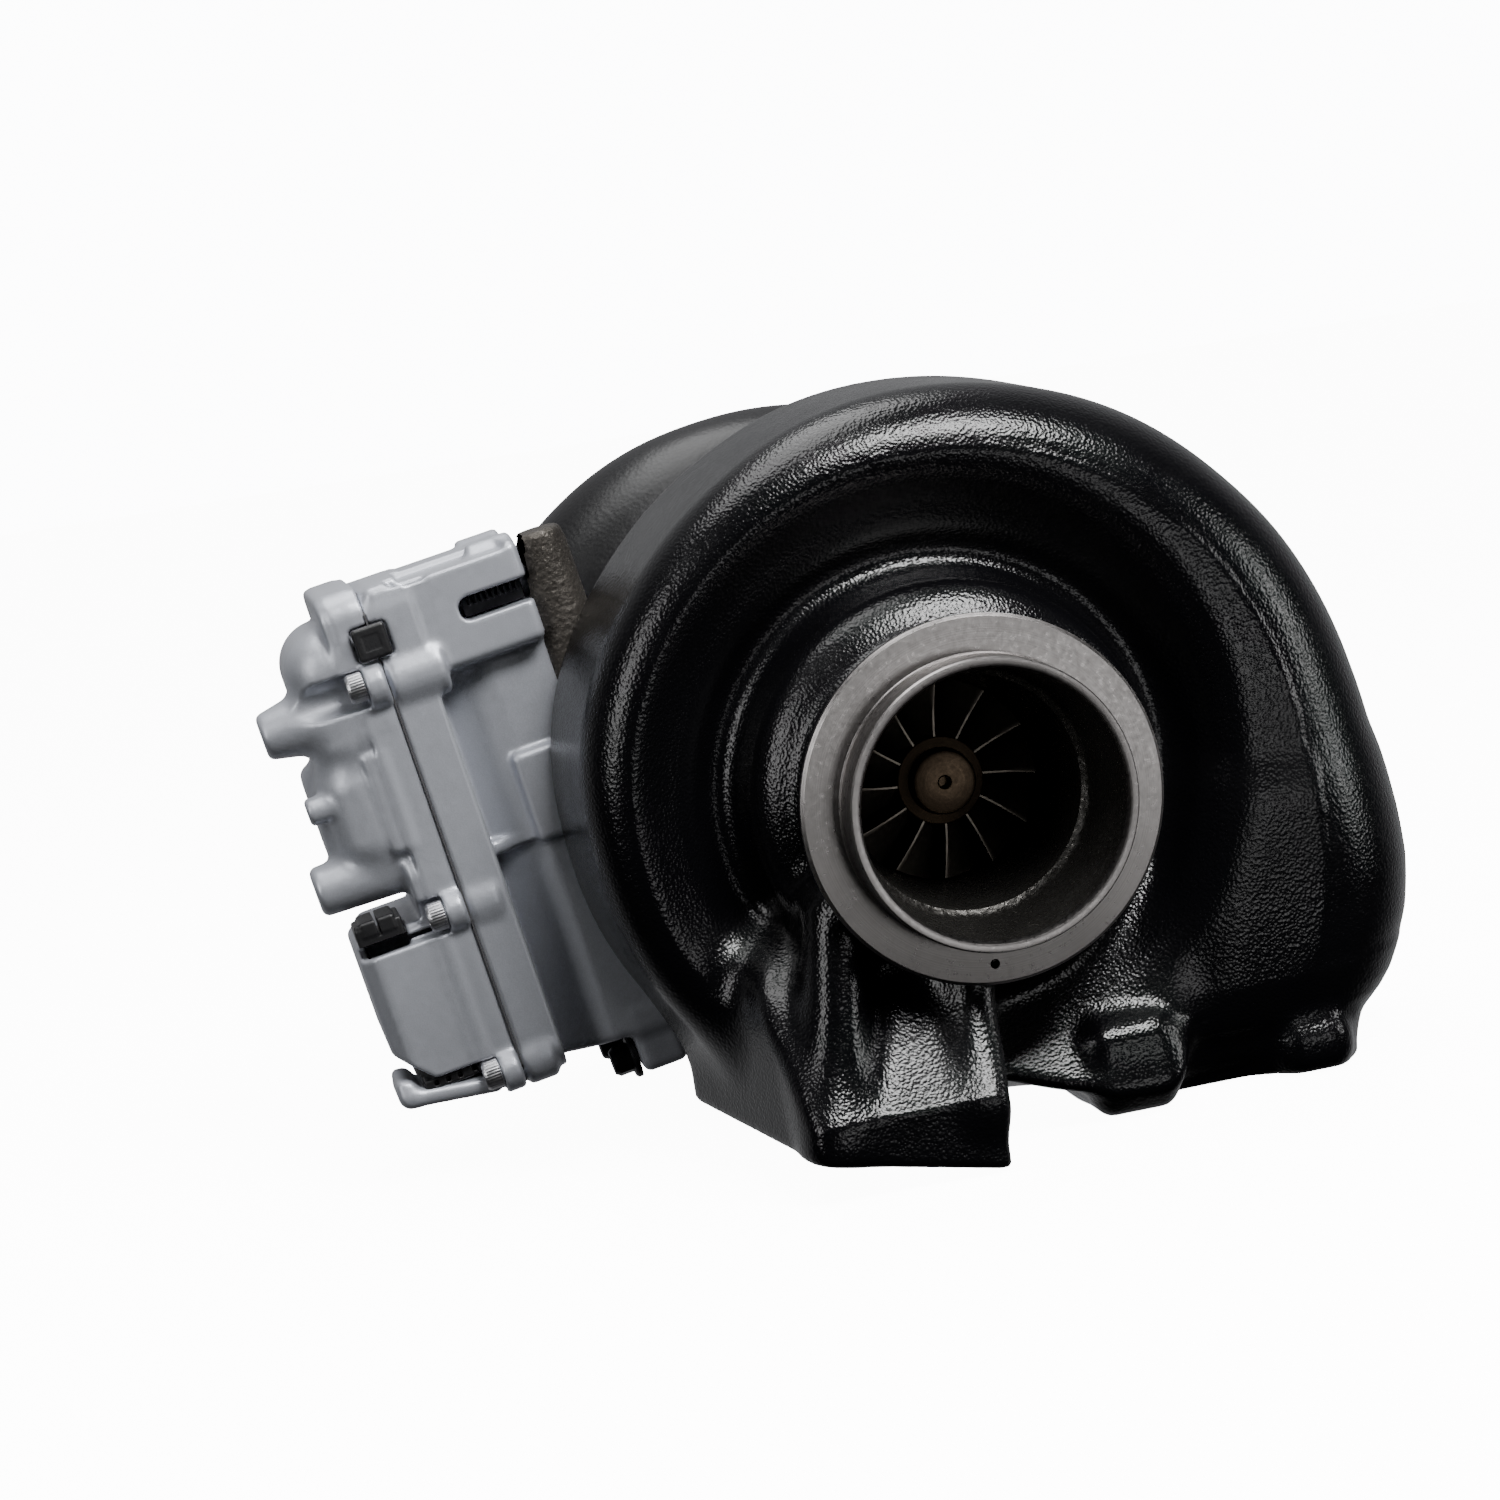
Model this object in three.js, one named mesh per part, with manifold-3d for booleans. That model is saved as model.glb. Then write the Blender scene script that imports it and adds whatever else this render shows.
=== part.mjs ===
// Variable-geometry turbocharger: turbine housing with exhaust outlet and inlet foot,
// bearing housing, compressor housing, rotor, sliding nozzle ring and geared electric actuator.
// Millimetres. +Y runs along the rotor from the exhaust outlet to the air inlet, +Z is up.
import * as THREE from "three";
import { mergeVertices } from "three/addons/utils/BufferGeometryUtils.js";
import Module from "manifold-3d";
const wasm = await Module();
wasm.setup();

// ---- driving dimensions -------------------------------------------------
const AXIS_UP = 110; // rotor axis above the turbine inlet face
const CENTRE_X = -26.03; // bounding-box centre, measured from the rotor axis
const CENTRE_Y = 131;
const ROLL_ACT = 9.7; // actuator and nozzle linkage, degrees about +Y (top leans to -X)
const OUTLET_R = 56; // exhaust V-band flange
const LIP_R = 44;
const BORE_R = 40.6;
const WHEEL_T_R = 34; // turbine wheel back disc
const EXDUCER_R = 31.6;
const SHAFT_R = 7;
const LEVER = 34; // yoke arm, cross shaft axis to pin
const YOKE_HALF = 7.5; // degrees each side of upright
const ROD_X = 50; // push rods either side of the rotor axis
const GEAR_Y = 136; // gear train plane, along the rotor axis
const CROSS_Z = -34; // cross shaft below the rotor axis, actuator frame
const SECTOR_T = 52, PINION_T = 12, WHEEL_TEETH = 56; // gear teeth
const SECTOR_M = 1.25, WHEEL_M = 1; // gear modules
const IDLER_Z = CROSS_Z + ((SECTOR_T + PINION_T) * SECTOR_M) / 2;
const MOTOR_Z = IDLER_Z + ((WHEEL_TEETH + PINION_T) * WHEEL_M) / 2;
const SCROLL_FRONT = 180; // compressor scroll, plane of its front wall
const SEG = 26;

// ---- helpers ------------------------------------------------------------
const D2R = Math.PI / 180;
const v3 = (x, y, z) => new THREE.Vector3(x, y, z);
function solid(geometry) {
  let g = geometry.index ? geometry.toNonIndexed() : geometry.clone();
  g = new THREE.BufferGeometry().setAttribute("position", g.getAttribute("position"));
  g = mergeVertices(g, 1e-4);
  const pos = g.attributes.position.array, idx = g.index.array;
  const tri = [];
  for (let i = 0; i < idx.length; i += 3)
    if (idx[i] !== idx[i + 1] && idx[i + 1] !== idx[i + 2] && idx[i] !== idx[i + 2]) tri.push(idx[i], idx[i + 1], idx[i + 2]);
  let vol = 0;
  for (let i = 0; i < tri.length; i += 3) {
    const [a, b, c] = [tri[i] * 3, tri[i + 1] * 3, tri[i + 2] * 3];
    vol += pos[a] * (pos[b + 1] * pos[c + 2] - pos[b + 2] * pos[c + 1]) - pos[a + 1] * (pos[b] * pos[c + 2] - pos[b + 2] * pos[c]) + pos[a + 2] * (pos[b] * pos[c + 1] - pos[b + 1] * pos[c]);
  }
  if (vol < 0) for (let i = 0; i < tri.length; i += 3) [tri[i + 1], tri[i + 2]] = [tri[i + 2], tri[i + 1]];
  return new wasm.Manifold(new wasm.Mesh({ numProp: 3, vertProperties: new Float32Array(pos), triVerts: new Uint32Array(tri) }));
}
function geometryOf(m) {
  const mesh = m.getMesh(), n = mesh.numProp;
  const p = new Float32Array(mesh.numVert * 3);
  for (let i = 0; i < mesh.numVert; i++) for (let k = 0; k < 3; k++) p[i * 3 + k] = mesh.vertProperties[i * n + k];
  const g = new THREE.BufferGeometry().setAttribute("position", new THREE.BufferAttribute(p, 3));
  g.setIndex(new THREE.BufferAttribute(new Uint32Array(mesh.triVerts), 1));
  g.computeVertexNormals();
  return g;
}
const union = (...s) => s.reduce((a, b) => a.add(b));
const cut = (a, ...s) => s.reduce((x, b) => x.subtract(b), a);
// solid of revolution about +Y from [r, y] points, closed on itself
function lathe(points, seg = SEG) {
  const closed = points[0][0] === 0 && points[points.length - 1][0] === 0;
  const p = points.map(([r, y]) => new THREE.Vector2(r, y));
  if (!closed) p.push(p[0].clone());
  return solid(new THREE.LatheGeometry(p, seg));
}
const moved = (g, x = 0, y = 0, z = 0) => g.translate(x, y, z);
// cylinder along an axis through a centre point
function cyl(axis, r, from, to, a = 0, b = 0, seg = 20, r2 = r) {
  const g = new THREE.CylinderGeometry(r2, r, to - from, seg);
  g.translate(0, (from + to) / 2, 0);
  if (axis === "x") { g.rotateZ(-Math.PI / 2); g.translate(0, a, b); }
  if (axis === "y") g.translate(a, 0, b);
  if (axis === "z") { g.rotateX(Math.PI / 2); g.translate(a, b, 0); }
  return solid(g);
}
const box = (x0, x1, y0, y1, z0, z1) => solid(moved(new THREE.BoxGeometry(x1 - x0, y1 - y0, z1 - z0), (x0 + x1) / 2, (y0 + y1) / 2, (z0 + z1) / 2));
// turn a solid about the +Y axis
const rollY = (m, deg) => m.rotate([0, -deg, 0]);
// prism from a polygon in the Y-Z plane, between x0 and x1
function prismX(poly, x0, x1) {
  const s = new THREE.Shape(poly.map(([y, z]) => new THREE.Vector2(y, z)));
  const g = new THREE.ExtrudeGeometry(s, { depth: x1 - x0, bevelEnabled: false });
  g.applyMatrix4(new THREE.Matrix4().makeBasis(v3(0, 1, 0), v3(0, 0, 1), v3(1, 0, 0)));
  g.translate(x0, 0, 0);
  return solid(g);
}
// prism from a polygon in the X-Z plane, between y0 and y1
function prismY(poly, y0, y1) {
  const s = new THREE.Shape(poly.map(([x, z]) => new THREE.Vector2(x, z)));
  const g = new THREE.ExtrudeGeometry(s, { depth: y1 - y0, bevelEnabled: false });
  g.applyMatrix4(new THREE.Matrix4().makeBasis(v3(1, 0, 0), v3(0, 0, 1), v3(0, -1, 0)));
  g.translate(0, y1, 0);
  return solid(g);
}
// prism from a polygon in the X-Y plane, between z0 and z1
function prismZ(poly, z0, z1) {
  const s = new THREE.Shape(poly.map(([x, y]) => new THREE.Vector2(x, y)));
  const g = new THREE.ExtrudeGeometry(s, { depth: z1 - z0, bevelEnabled: false });
  g.translate(0, 0, z0);
  return solid(g);
}
// closed loft through rings of equal point count; the sides listed in turned split along their other diagonal
function loft(rings, turned = []) {
  const n = rings[0].length, p = [], t = [];
  for (const r of rings) for (const q of r) p.push(q[0], q[1], q[2]);
  for (let i = 0; i + 1 < rings.length; i++)
    for (let j = 0; j < n; j++) {
      const a = i * n + j, b = i * n + ((j + 1) % n), c = a + n, d = b + n;
      turned.includes(j) ? t.push(a, b, c, b, d, c) : t.push(a, b, d, a, d, c);
    }
  const cap = (off, flip) => {
    for (let j = 1; j + 1 < n; j++) flip ? t.push(off, off + j + 1, off + j) : t.push(off, off + j, off + j + 1);
  };
  cap(0, true);
  cap((rings.length - 1) * n, false);
  const g = new THREE.BufferGeometry().setAttribute("position", new THREE.BufferAttribute(new Float32Array(p), 3));
  g.setIndex(t);
  return solid(g);
}
function table(rows, x) {
  if (x <= rows[0][0]) return rows[0][1];
  for (let i = 1; i < rows.length; i++)
    if (x <= rows[i][0]) {
      const [a, b] = [rows[i - 1], rows[i]];
      return a[1] + ((b[1] - a[1]) * (x - a[0])) / (b[0] - a[0]);
    }
  return rows[rows.length - 1][1];
}
const polar = (r, y, deg) => [r * Math.cos(deg * D2R), y, r * Math.sin(deg * D2R)];

const paint = (hex, rough, metal) => new THREE.MeshStandardMaterial({ color: hex, roughness: rough, metalness: metal });
const BLACK_CAST = paint(0x0c0c10, 0.4, 0.2), SILVER = paint(0xa6a8b0, 0.5, 0.5), STEEL = paint(0x9a948c, 0.3, 1), IRON = paint(0x5a544c, 0.8, 0.5), INCO = paint(0x6b5f50, 0.4, 0.9), ALU = paint(0xc8cacc, 0.3, 0.9), ZINC = paint(0xb9bbc0, 0.35, 0.9), PLASTIC = paint(0x08080a, 0.5, 0), BRONZE = paint(0x9c7038, 0.4, 0.8), PCB = paint(0x1e5a34, 0.5, 0), BLACK_STEEL = paint(0x101012, 0.45, 0.6), GASKET = paint(0x202022, 0.8, 0);
const unit = new THREE.Group();
const actuatorFrame = new THREE.Group();
actuatorFrame.rotation.y = -ROLL_ACT * D2R;
unit.add(actuatorFrame);
function part(name, m, material, group = unit) {
  const mesh = new THREE.Mesh(geometryOf(m), material);
  mesh.name = name;
  group.add(mesh);
  return mesh;
}

// ---- turbine housing ----------------------------------------------------
const T_R = [[-45, 156], [-38, 163], [-32, 166], [-25, 165.5], [-19, 161], [-9, 151], [2, 146], [15, 142], [29, 138], [36, 135], [54, 132], [69, 128], [84, 126], [99, 124], [117, 120], [136, 118], [159, 118], [169, 117], [183, 114], [218, 113]];
const T_FRONT = [[-40, 29], [0, 30], [60, 34], [140, 38], [222, 42]];
const T_BACK = 107;
function turbineSection(deg, wall) {
  const R = table(T_R, deg) - wall, f = table(T_FRONT, deg) + wall, b = T_BACK - wall, i = 74 + wall * 0.4;
  const h = b - f;
  // points [r, y]: web, front crest, shoulder, outer land, back
  return [[i, f + 0.34 * h], [i + 0.14 * (R - i), f + 0.2 * h], [i + 0.34 * (R - i), f + 0.035 * h], [i + 0.52 * (R - i), f], [i + 0.72 * (R - i), f + 0.05 * h], [i + 0.89 * (R - i), f + 0.2 * h], [R - 1.5, f + 0.42 * h], [R, f + 0.62 * h], [R - 0.5, b - 7], [R - 5, b], [i, b]].map(([r, y]) => polar(r, y, deg));
}
const angles = (a, b, n) => Array.from({ length: n + 1 }, (_, i) => a + ((b - a) * i) / n);
const volute = loft(angles(-34, 226, 20).map((d) => turbineSection(d, 0)));
const voluteGas = loft(angles(-30, 216, 15).map((d) => turbineSection(d, 7)));
// inlet duct from the volute mouth down to the foot, rounded rectangles
function ductRing(x0, x1, y0, y1, z, tilt = 0) {
  const ring = [], cx = (x0 + x1) / 2, hx = (x1 - x0) / 2;
  for (let k = 0; k < 12; k++) {
    const a = ((k + 0.5) / 12) * 2 * Math.PI, c = Math.cos(a), q = Math.sin(a), e = 0.5;
    const u = Math.sign(c) * Math.pow(Math.abs(c), e) * hx, w = Math.sign(q) * Math.pow(Math.abs(q), e);
    ring.push([cx + u, (y0 + y1) / 2 + (w * (y1 - y0)) / 2, z + u * tilt]);
  }
  return ring;
}
const duct = loft([ductRing(78, 145, 34, 105, -6), ductRing(70, 150, 34, 106, -26), ductRing(60, 154, 34, 106, -54), ductRing(44, 149, 35, 108, -76), ductRing(32, 131, 34, 122, -96), ductRing(31, 121, 32, 128, -104)]);
const ductGas = loft([ductRing(84, 139, 42, 99, -22, 0.1), ductRing(72, 143, 42, 99, -50), ductRing(57, 132, 44, 108, -76), ductRing(50, 101, 46, 112, -94), ductRing(50, 101, 46, 112, -112)]);
const chamfered = (x0, x1, y0, y1, c) => [[x0 + c, y0], [x1 - c, y0], [x1, y0 + c], [x1, y1 - c], [x1 - c, y1], [x0 + c, y1], [x0, y1 - c], [x0, y0 + c]];
// inlet foot with corner lugs and a relieved front edge
const FOOT_HOLES = [[41, 37], [105, 37], [41, 121], [105, 121]];
const foot = cut(
  union(prismZ([[39, 25], [106, 25], [114, 31], [122, 56], [122, 123], [112, 133], [39, 133], [29, 123], [29, 35]], -110, -98), ...FOOT_HOLES.map(([x, y]) => cyl("z", 12, -110, -86, x, y, 12))),
  box(56, 91, 20, 32, -105, -80)
);
const footHoles = FOOT_HOLES.map(([x, y]) => cyl("z", 4.6, -116, -92, x, y, 12));
// support pad cast under the outlet neck; its underside climbs to the left
const padUnder = (x) => -110 + Math.max(0, -10 - x) * 0.215;
const padRing = (rows, z) => rows.map(([x, y]) => [x, y, z === null ? padUnder(x) : z]);
const pad = loft([
  padRing([[-12, -10], [-6, 0], [-4, 40], [-4, 80], [-60, 94], [-84, 84], [-82, 30], [-70, -4], [-62, -10]], null),
  padRing([[-12, -10], [-6, 0], [-2, 40], [-2, 80], [-60, 96], [-86, 84], [-82, 30], [-70, -4], [-62, -10]], -88),
  padRing([[-14, 0], [-6, 8], [2, 44], [4, 80], [-56, 96], [-82, 84], [-74, 36], [-60, 6], [-54, 0]], -72),
  padRing([[-16, 12], [-6, 14], [10, 44], [10, 80], [-50, 92], [-66, 80], [-58, 40], [-46, 14], [-42, 12]], -44),
]);
// neck, web and flanges
const turbineCore = lathe([[40, -13], [LIP_R - 1, -13], [LIP_R, -12], [LIP_R, 0], [OUTLET_R - 1, 0], [OUTLET_R, 1], [OUTLET_R, 3], [51, 9], [50, 14], [56, 22], [64, 30], [70, 40], [76, 52], [90, 58], [94, 100], [90, T_BACK], [66, T_BACK], [66, 111.4], [70, 112], [70, 116], [40, 116]]);
const turbineBore = lathe([[0, -20], [BORE_R, -20], [BORE_R, 10], [37.5, 31], [34.5, 34], [32.4, 50], [33, 60], [37, 69.7], [44, 69.7], [44, 59], [60, 59], [60, 69.7], [63.8, 69.7], [63.8, 120], [0, 120]]);
const gasSlot = lathe([[60, 73], [84, 73], [84, 92], [60, 92]]);
part("turbine_housing", cut(union(volute, turbineCore, duct, foot, pad), voluteGas, ductGas, turbineBore, gasSlot, ...footHoles, cyl("y", 1.6, -6, 8, 9.5, -47.5, 8)), BLACK_CAST);

// ---- nozzle parts -------------------------------------------------------
const VANES = 12;
function vane(y0, y1, grow, k) {
  const n = 3, a = (k / VANES) * 360, pts = [];
  // thin leaning vane between radius 45.5 and 59
  const p = (r, t, side) => {
    const d = (a + 26 * t) * D2R;
    const w = (0.5 + 1.3 * Math.sin(Math.PI * Math.min(1, t * 1.0 + 0.05))) * side + grow * side;
    return [(r + 0) * Math.cos(d) - w * Math.sin(d + 0.9), r * Math.sin(d) + w * Math.cos(d + 0.9)];
  };
  for (let i = 0; i <= n; i++) pts.push(p(46 - grow + (12.5 + 2 * grow) * (i / n), i / n, 1));
  for (let i = n; i >= 0; i--) pts.push(p(46 - grow + (12.5 + 2 * grow) * (i / n), i / n, -1));
  return prismY(pts, y0, y1);
}
const ks = [...Array(VANES).keys()];
part("nozzle_ring", union(lathe([[44.6, 84.5], [62.6, 84.5], [62.6, 90], [60.8, 90], [60.8, 86.8], [46.4, 86.8], [46.4, 90], [44.6, 90]]), ...ks.map((k) => vane(71.2, 85, 0, k))), INCO);
part("nozzle_shroud_plate", cut(lathe([[38.2, 70], [63.5, 70], [63.5, 72.2], [38.2, 72.2]]), ...ks.map((k) => vane(69, 73, 0.4, k))), INCO);
const PIN_Y = GEAR_Y + LEVER * Math.sin(YOKE_HALF * D2R); // yoke pins with the nozzle open
const rodEnd = (s) => cut(union(cyl("y", 3, 87.2, 134, s * ROD_X, 0, 10), box(s * ROD_X - 4, s * ROD_X + 4, PIN_Y - 6.6, PIN_Y + 8, -6, 8)), box(s * ROD_X - 6, s * ROD_X + 6, PIN_Y - 4.2, PIN_Y + 4.2, -8, 4.4));
part("push_rod_left", rodEnd(-1), STEEL, actuatorFrame);
part("push_rod_right", rodEnd(1), STEEL, actuatorFrame);
const yokeArm = (s) => {
  const x0 = s > 0 ? 26 : -32, x1 = s > 0 ? 32 : -26;
  const arm = prismX([[-7, 0], [7, 0], [3.9, LEVER], [0, LEVER + 3.9], [-3.9, LEVER]], x0, x1);
  const pin = cyl("x", 3.9, s > 0 ? 31 : -53, s > 0 ? 53 : -31, 0, LEVER, 12);
  return union(arm, pin);
};
const yokeAtZero = cut(union(cyl("x", 8.5, -32, 32, 0, 0, 16), yokeArm(1), yokeArm(-1)), cyl("x", 6.2, -40, 40, 0, 0, 16));
const yoke = yokeAtZero.rotate([-YOKE_HALF, 0, 0]).translate([0, GEAR_Y, CROSS_Z]);
part("nozzle_yoke", yoke, STEEL, actuatorFrame);
part("cross_shaft", cyl("x", 5.9, -134, 44, GEAR_Y, CROSS_Z, 14), STEEL, actuatorFrame);
part("heat_shield", lathe([[11.8, 84], [30, 84], [34, 86], [36.5, 91], [37.8, 91], [37.8, 92.2], [35.6, 92.2], [33, 87.2], [29.6, 85.2], [11.8, 85.2]], 20), STEEL);

// ---- rotor --------------------------------------------------------------
function bladeSolid(hub, tip, thick, k, count, twist) {
  // hub and tip are lists of [r, y, sweep degrees]
  const a0 = (k / count) * 360, ring = (row) => {
    const out = [];
    const [h, t] = row;
    for (const [pt, side] of [[h, -1], [t, -1], [t, 1], [h, 1]]) {
      const th = pt === h ? thick * 1.4 : thick;
      const d = (a0 + twist * pt[2]) * D2R, r = pt[0];
      out.push([r * Math.cos(d) - side * th * 0.5 * Math.sin(d), pt[1], r * Math.sin(d) + side * th * 0.5 * Math.cos(d)]);
    }
    return out;
  };
  return loft(hub.map((h, i) => ring([h, tip[i]])), [2]);
}
const T_BLADES = 12;
const tHub = [[12, 53, 30], [13.5, 60, 14], [18, 70, 3], [26, 78.5, 0]], tTip = [[EXDUCER_R - 0.4, 53, 46], [31.8, 60, 20], [33.8, 68, 3], [34.6, 76.5, 0]];
const wheelT = union(
  lathe([[0, 47], [9.4, 47], [10.3, 48], [10.3, 51.5], [14.2, 53], [15.8, 61], [20, 71], [27, 77.5], [WHEEL_T_R, 79.4], [WHEEL_T_R, 81], [20, 83], [11.2, 83], [11.2, 96], [SHAFT_R, 96], [SHAFT_R, 154], [6, 154], [6, 217], [4.8, 217.6], [4.8, 228], [0, 228]], 18),
  ...[...Array(T_BLADES).keys()].map((k) => bladeSolid(tHub, tTip, 1.5, k, T_BLADES, -1))
);
part("turbine_wheel_and_shaft", cut(wheelT, cyl("y", 1.7, 44, 50.5, 0, 0, 8)), INCO);
const C_BLADES = 7;
const cHub = [[9.2, 215.6, 50], [10.9, 206, 29], [16, 195.2, 12], [27, 185.8, 2], [41, 183.7, 0]], cTip = [[28.8, 213.6, 66], [29.3, 206.2, 35], [32.4, 198, 13], [37.9, 192, 3], [41.9, 189.8, 0]];
part("compressor_wheel", union(
  cut(lathe([[6.15, 178.4], [22, 179], [42.4, 183], [42.4, 184.6], [30, 186.4], [19, 193], [13, 203], [10.4, 218], [6.15, 218]], 20)),
  ...[...Array(C_BLADES).keys()].map((k) => bladeSolid(cHub, cTip, 1.1, k, C_BLADES, -1)),
  ...[...Array(C_BLADES).keys()].map((k) => bladeSolid(cHub.slice(1), cTip.slice(1), 1.1, k + 0.5, C_BLADES, -1))
), ALU);
part("compressor_nut", cut(lathe([[0, 218.4], [9, 218.4], [9, 225], [7.5, 226.5], [0, 226.5]], 6), cyl("y", 5.2, 216, 230, 0, 0, 12)), BLACK_STEEL);
part("thrust_collar", lathe([[6.15, 158], [12, 158], [12, 160.2], [8.6, 160.2], [8.6, 163.8], [12, 163.8], [12, 166], [6.15, 166]], 18), STEEL);
part("oil_slinger", lathe([[6.15, 166.3], [14, 166.3], [14, 169], [9.8, 170], [9.8, 178], [6.15, 178]], 18), STEEL);

// ---- bearings and seals -------------------------------------------------
part("journal_bearing_turbine", lathe([[7.2, 103], [10.9, 103], [10.9, 113], [7.2, 113]], 20), BRONZE);
part("journal_bearing_compressor", lathe([[7.2, 141], [10.9, 141], [10.9, 151], [7.2, 151]], 20), BRONZE);
part("thrust_bearing", lathe([[8.8, 160.5], [26, 160.5], [26, 163.5], [8.8, 163.5]], 20), BRONZE);
const splitRing = (r0, r1, y0, y1) => cut(lathe([[r0, y0], [r1, y0], [r1, y1], [r0, y1]], 20), box(r0 - 2, r1 + 2, y0 - 1, y1 + 1, -0.4, 0.4));
part("seal_ring_turbine", splitRing(11.35, 12.2, 93, 94.6), STEEL);
part("seal_ring_compressor", splitRing(9.95, 11.2, 172.4, 174), STEEL);

// ---- bearing housing ----------------------------------------------------
const onAct = (m) => rollY(m, ROLL_ACT);
let bearingHousing = union(
  lathe([[0, 92.5], [30, 92.5], [33, 96], [33, 106], [63.4, 109], [63.4, 116.3], [70, 116.3], [70, 120.2], [65.8, 120.4], [62, 126], [62, 158], [66, 163], [66, 165.8], [80, 165.8], [80, 171], [0, 171]]),
  onAct(union(box(-95.7, -80, 117.5, 160, -72, 98), box(-81, -40, 124.8, 158, -50, 60))),
  cyl("z", 17, -80, -50, 0, 142, 16),
  cyl("z", 14, 40, 84, 4, 142, 16),
  onAct(cyl("x", 11, 40, 78, 142, 22, 12))
);
bearingHousing = cut(
  bearingHousing,
  lathe([[0, 80], [12.4, 80], [12.4, 101], [11.2, 102], [11.2, 152], [26.6, 156], [26.6, 171.5], [0, 171.5]], 24),
  cut(lathe([[21, 124.5], [56.4, 124.5], [56.4, 155], [21, 155]]), onAct(box(-60, 60, 120, 160, 15, 70))),
  ...[-ROD_X, ROD_X].map((x) => onAct(cyl("y", 3.5, 80, 130, x, 0, 12))),
  onAct(cyl("x", 6.3, -100, 58, GEAR_Y, CROSS_Z, 14)),
  cyl("z", 11, -84, -50, 0, 142, 16),
  cyl("z", 4.5, 10, 90, 4, 142, 12),
  onAct(cyl("x", 6.9, 24, 80, 142, 22, 12))
);
part("bearing_housing", bearingHousing, IRON);
part("oil_inlet_plug", cut(cyl("z", 4.1, 68, 83.4, 4, 142, 12), cyl("z", 2.2, 77, 90, 4, 142, 6)), PLASTIC);
part("speed_sensor", onAct(union(cyl("x", 6.4, 40, 78.3, 142, 22, 12), cyl("x", 9, 78.3, 84, 142, 22, 6), cyl("x", 6, 84, 97, 142, 22, 12))), PLASTIC);

// ---- compressor side ----------------------------------------------------
const C_R = [[248, 108], [270, 106], [300, 107], [330, 109], [360, 111], [400, 113.5], [430, 116], [449, 118.5], [457, 120], [466, 121.5], [474, 124.5], [484, 126.5], [492, 128], [500, 130], [520, 132], [540, 133]];
const C_T = [[248, 16], [290, 20], [350, 25], [450, 31], [510, 34], [540, 35]];
function scrollSection(deg, wall) {
  const t = table(C_T, deg), R = table(C_R, deg), c = R - t, ring = [];
  for (let k = 0; k < 10; k++) {
    const a = ((k + 0.5) / 10) * 2 * Math.PI;
    ring.push(polar(c + (t - wall) * Math.cos(a), SCROLL_FRONT + t + (t - wall) * Math.sin(a), deg));
  }
  return ring;
}
const scroll = loft(angles(248, 540, 20).map((d) => scrollSection(d, 0)));
const scrollGas = loft(angles(256, 540, 18).map((d) => scrollSection(d, 5)));
const OUT_DEG = 180;
const outTube = (r0, r1, l0, l1, seg = 20) => {
  const c = 133 - 35, a = OUT_DEG * D2R;
  const g = new THREE.CylinderGeometry(r1, r0, l1 - l0, seg);
  g.translate(0, (l0 + l1) / 2, 0);
  const t = v3(-Math.sin(a), 0, Math.cos(a)); // tangent, counter-clockwise seen from the exhaust side
  g.applyQuaternion(new THREE.Quaternion().setFromUnitVectors(v3(0, 1, 0), t));
  g.translate(c * Math.cos(a), SCROLL_FRONT + 35, c * Math.sin(a));
  return solid(g);
};
part("compressor_housing", cut(
  union(
    scroll,
    lathe([[74.4, 171.4], [80, 171.4], [80, 175.4], [76.2, 176], [76.2, 181], [91, 181.4], [92, 196], [84, 222], [64, 228], [52, 234], [50, 242], [50, 264], [52, 266], [52, 269], [50, 271], [50, 275], [40, 275], [40, 190], [74.4, 186]]),
    outTube(35, 31, -6, 36), outTube(31, 31, 34, 72), outTube(33, 33, 62, 68)
  ),
  scrollGas,
  lathe([[0, 165], [74.4, 165], [74.4, 184.4], [96, 184.4], [96, 190.6], [42.6, 190.6], [38.4, 192.8], [33.2, 198.8], [30.2, 206], [29.9, 215], [31.5, 220], [38, 238], [46, 262], [46, 280], [0, 280]]),
  outTube(30, 26.5, -8, 80)
), BLACK_CAST);
part("compressor_backplate", lathe([[11.4, 171.4], [74, 171.4], [74, 184], [43.4, 184], [43, 178], [24, 177.8], [11.4, 177]]), ALU);

// ---- V-band clamps ------------------------------------------------------
function clampBand(r, y0, y1, deg) {
  const m = (y0 + y1) / 2;
  const ring = lathe([[r - 2.9, y0 - 3.2], [r + 2.4, y0 - 3], [r + 3.4, m], [r + 2.4, y1 + 3], [r - 2.9, y1 + 3.2], [r - 2.9, y1 + 0.5], [r + 0.7, y1 + 0.4], [r + 0.7, y0 - 0.4], [r - 2.9, y0 - 0.5]], 24);
  const lug = (z) => box(r + 1.5, r + 20, m - 6, m + 6, z - 1.5, z + 1.5);
  return rollY(union(cut(ring, box(r - 10, r + 10, y0 - 6, y1 + 6, -5, 5)), lug(-6.4), lug(6.4)).subtract(cyl("z", 3.3, -20, 20, r + 13, m, 10)), deg);
}
function clampSet(prefix, r, y0, y1, deg) {
  const m = (y0 + y1) / 2;
  part(prefix + "_clamp_band", clampBand(r, y0, y1, deg), STEEL);
  part(prefix + "_clamp_bolt", rollY(union(cyl("z", 3, -13, 20, r + 13, m, 10), cyl("z", 5.2, -13, -8.3, r + 13, m, 6)), deg), ZINC);
  part(prefix + "_clamp_nut", rollY(cut(cyl("z", 5.6, 8.3, 14, r + 13, m, 6), cyl("z", 3.3, 8, 15, r + 13, m, 10)), deg), ZINC);
}
clampSet("turbine", 70, 111.9, 120.2, 300);
clampSet("compressor", 80, 165.8, 175.5, 52);

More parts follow.
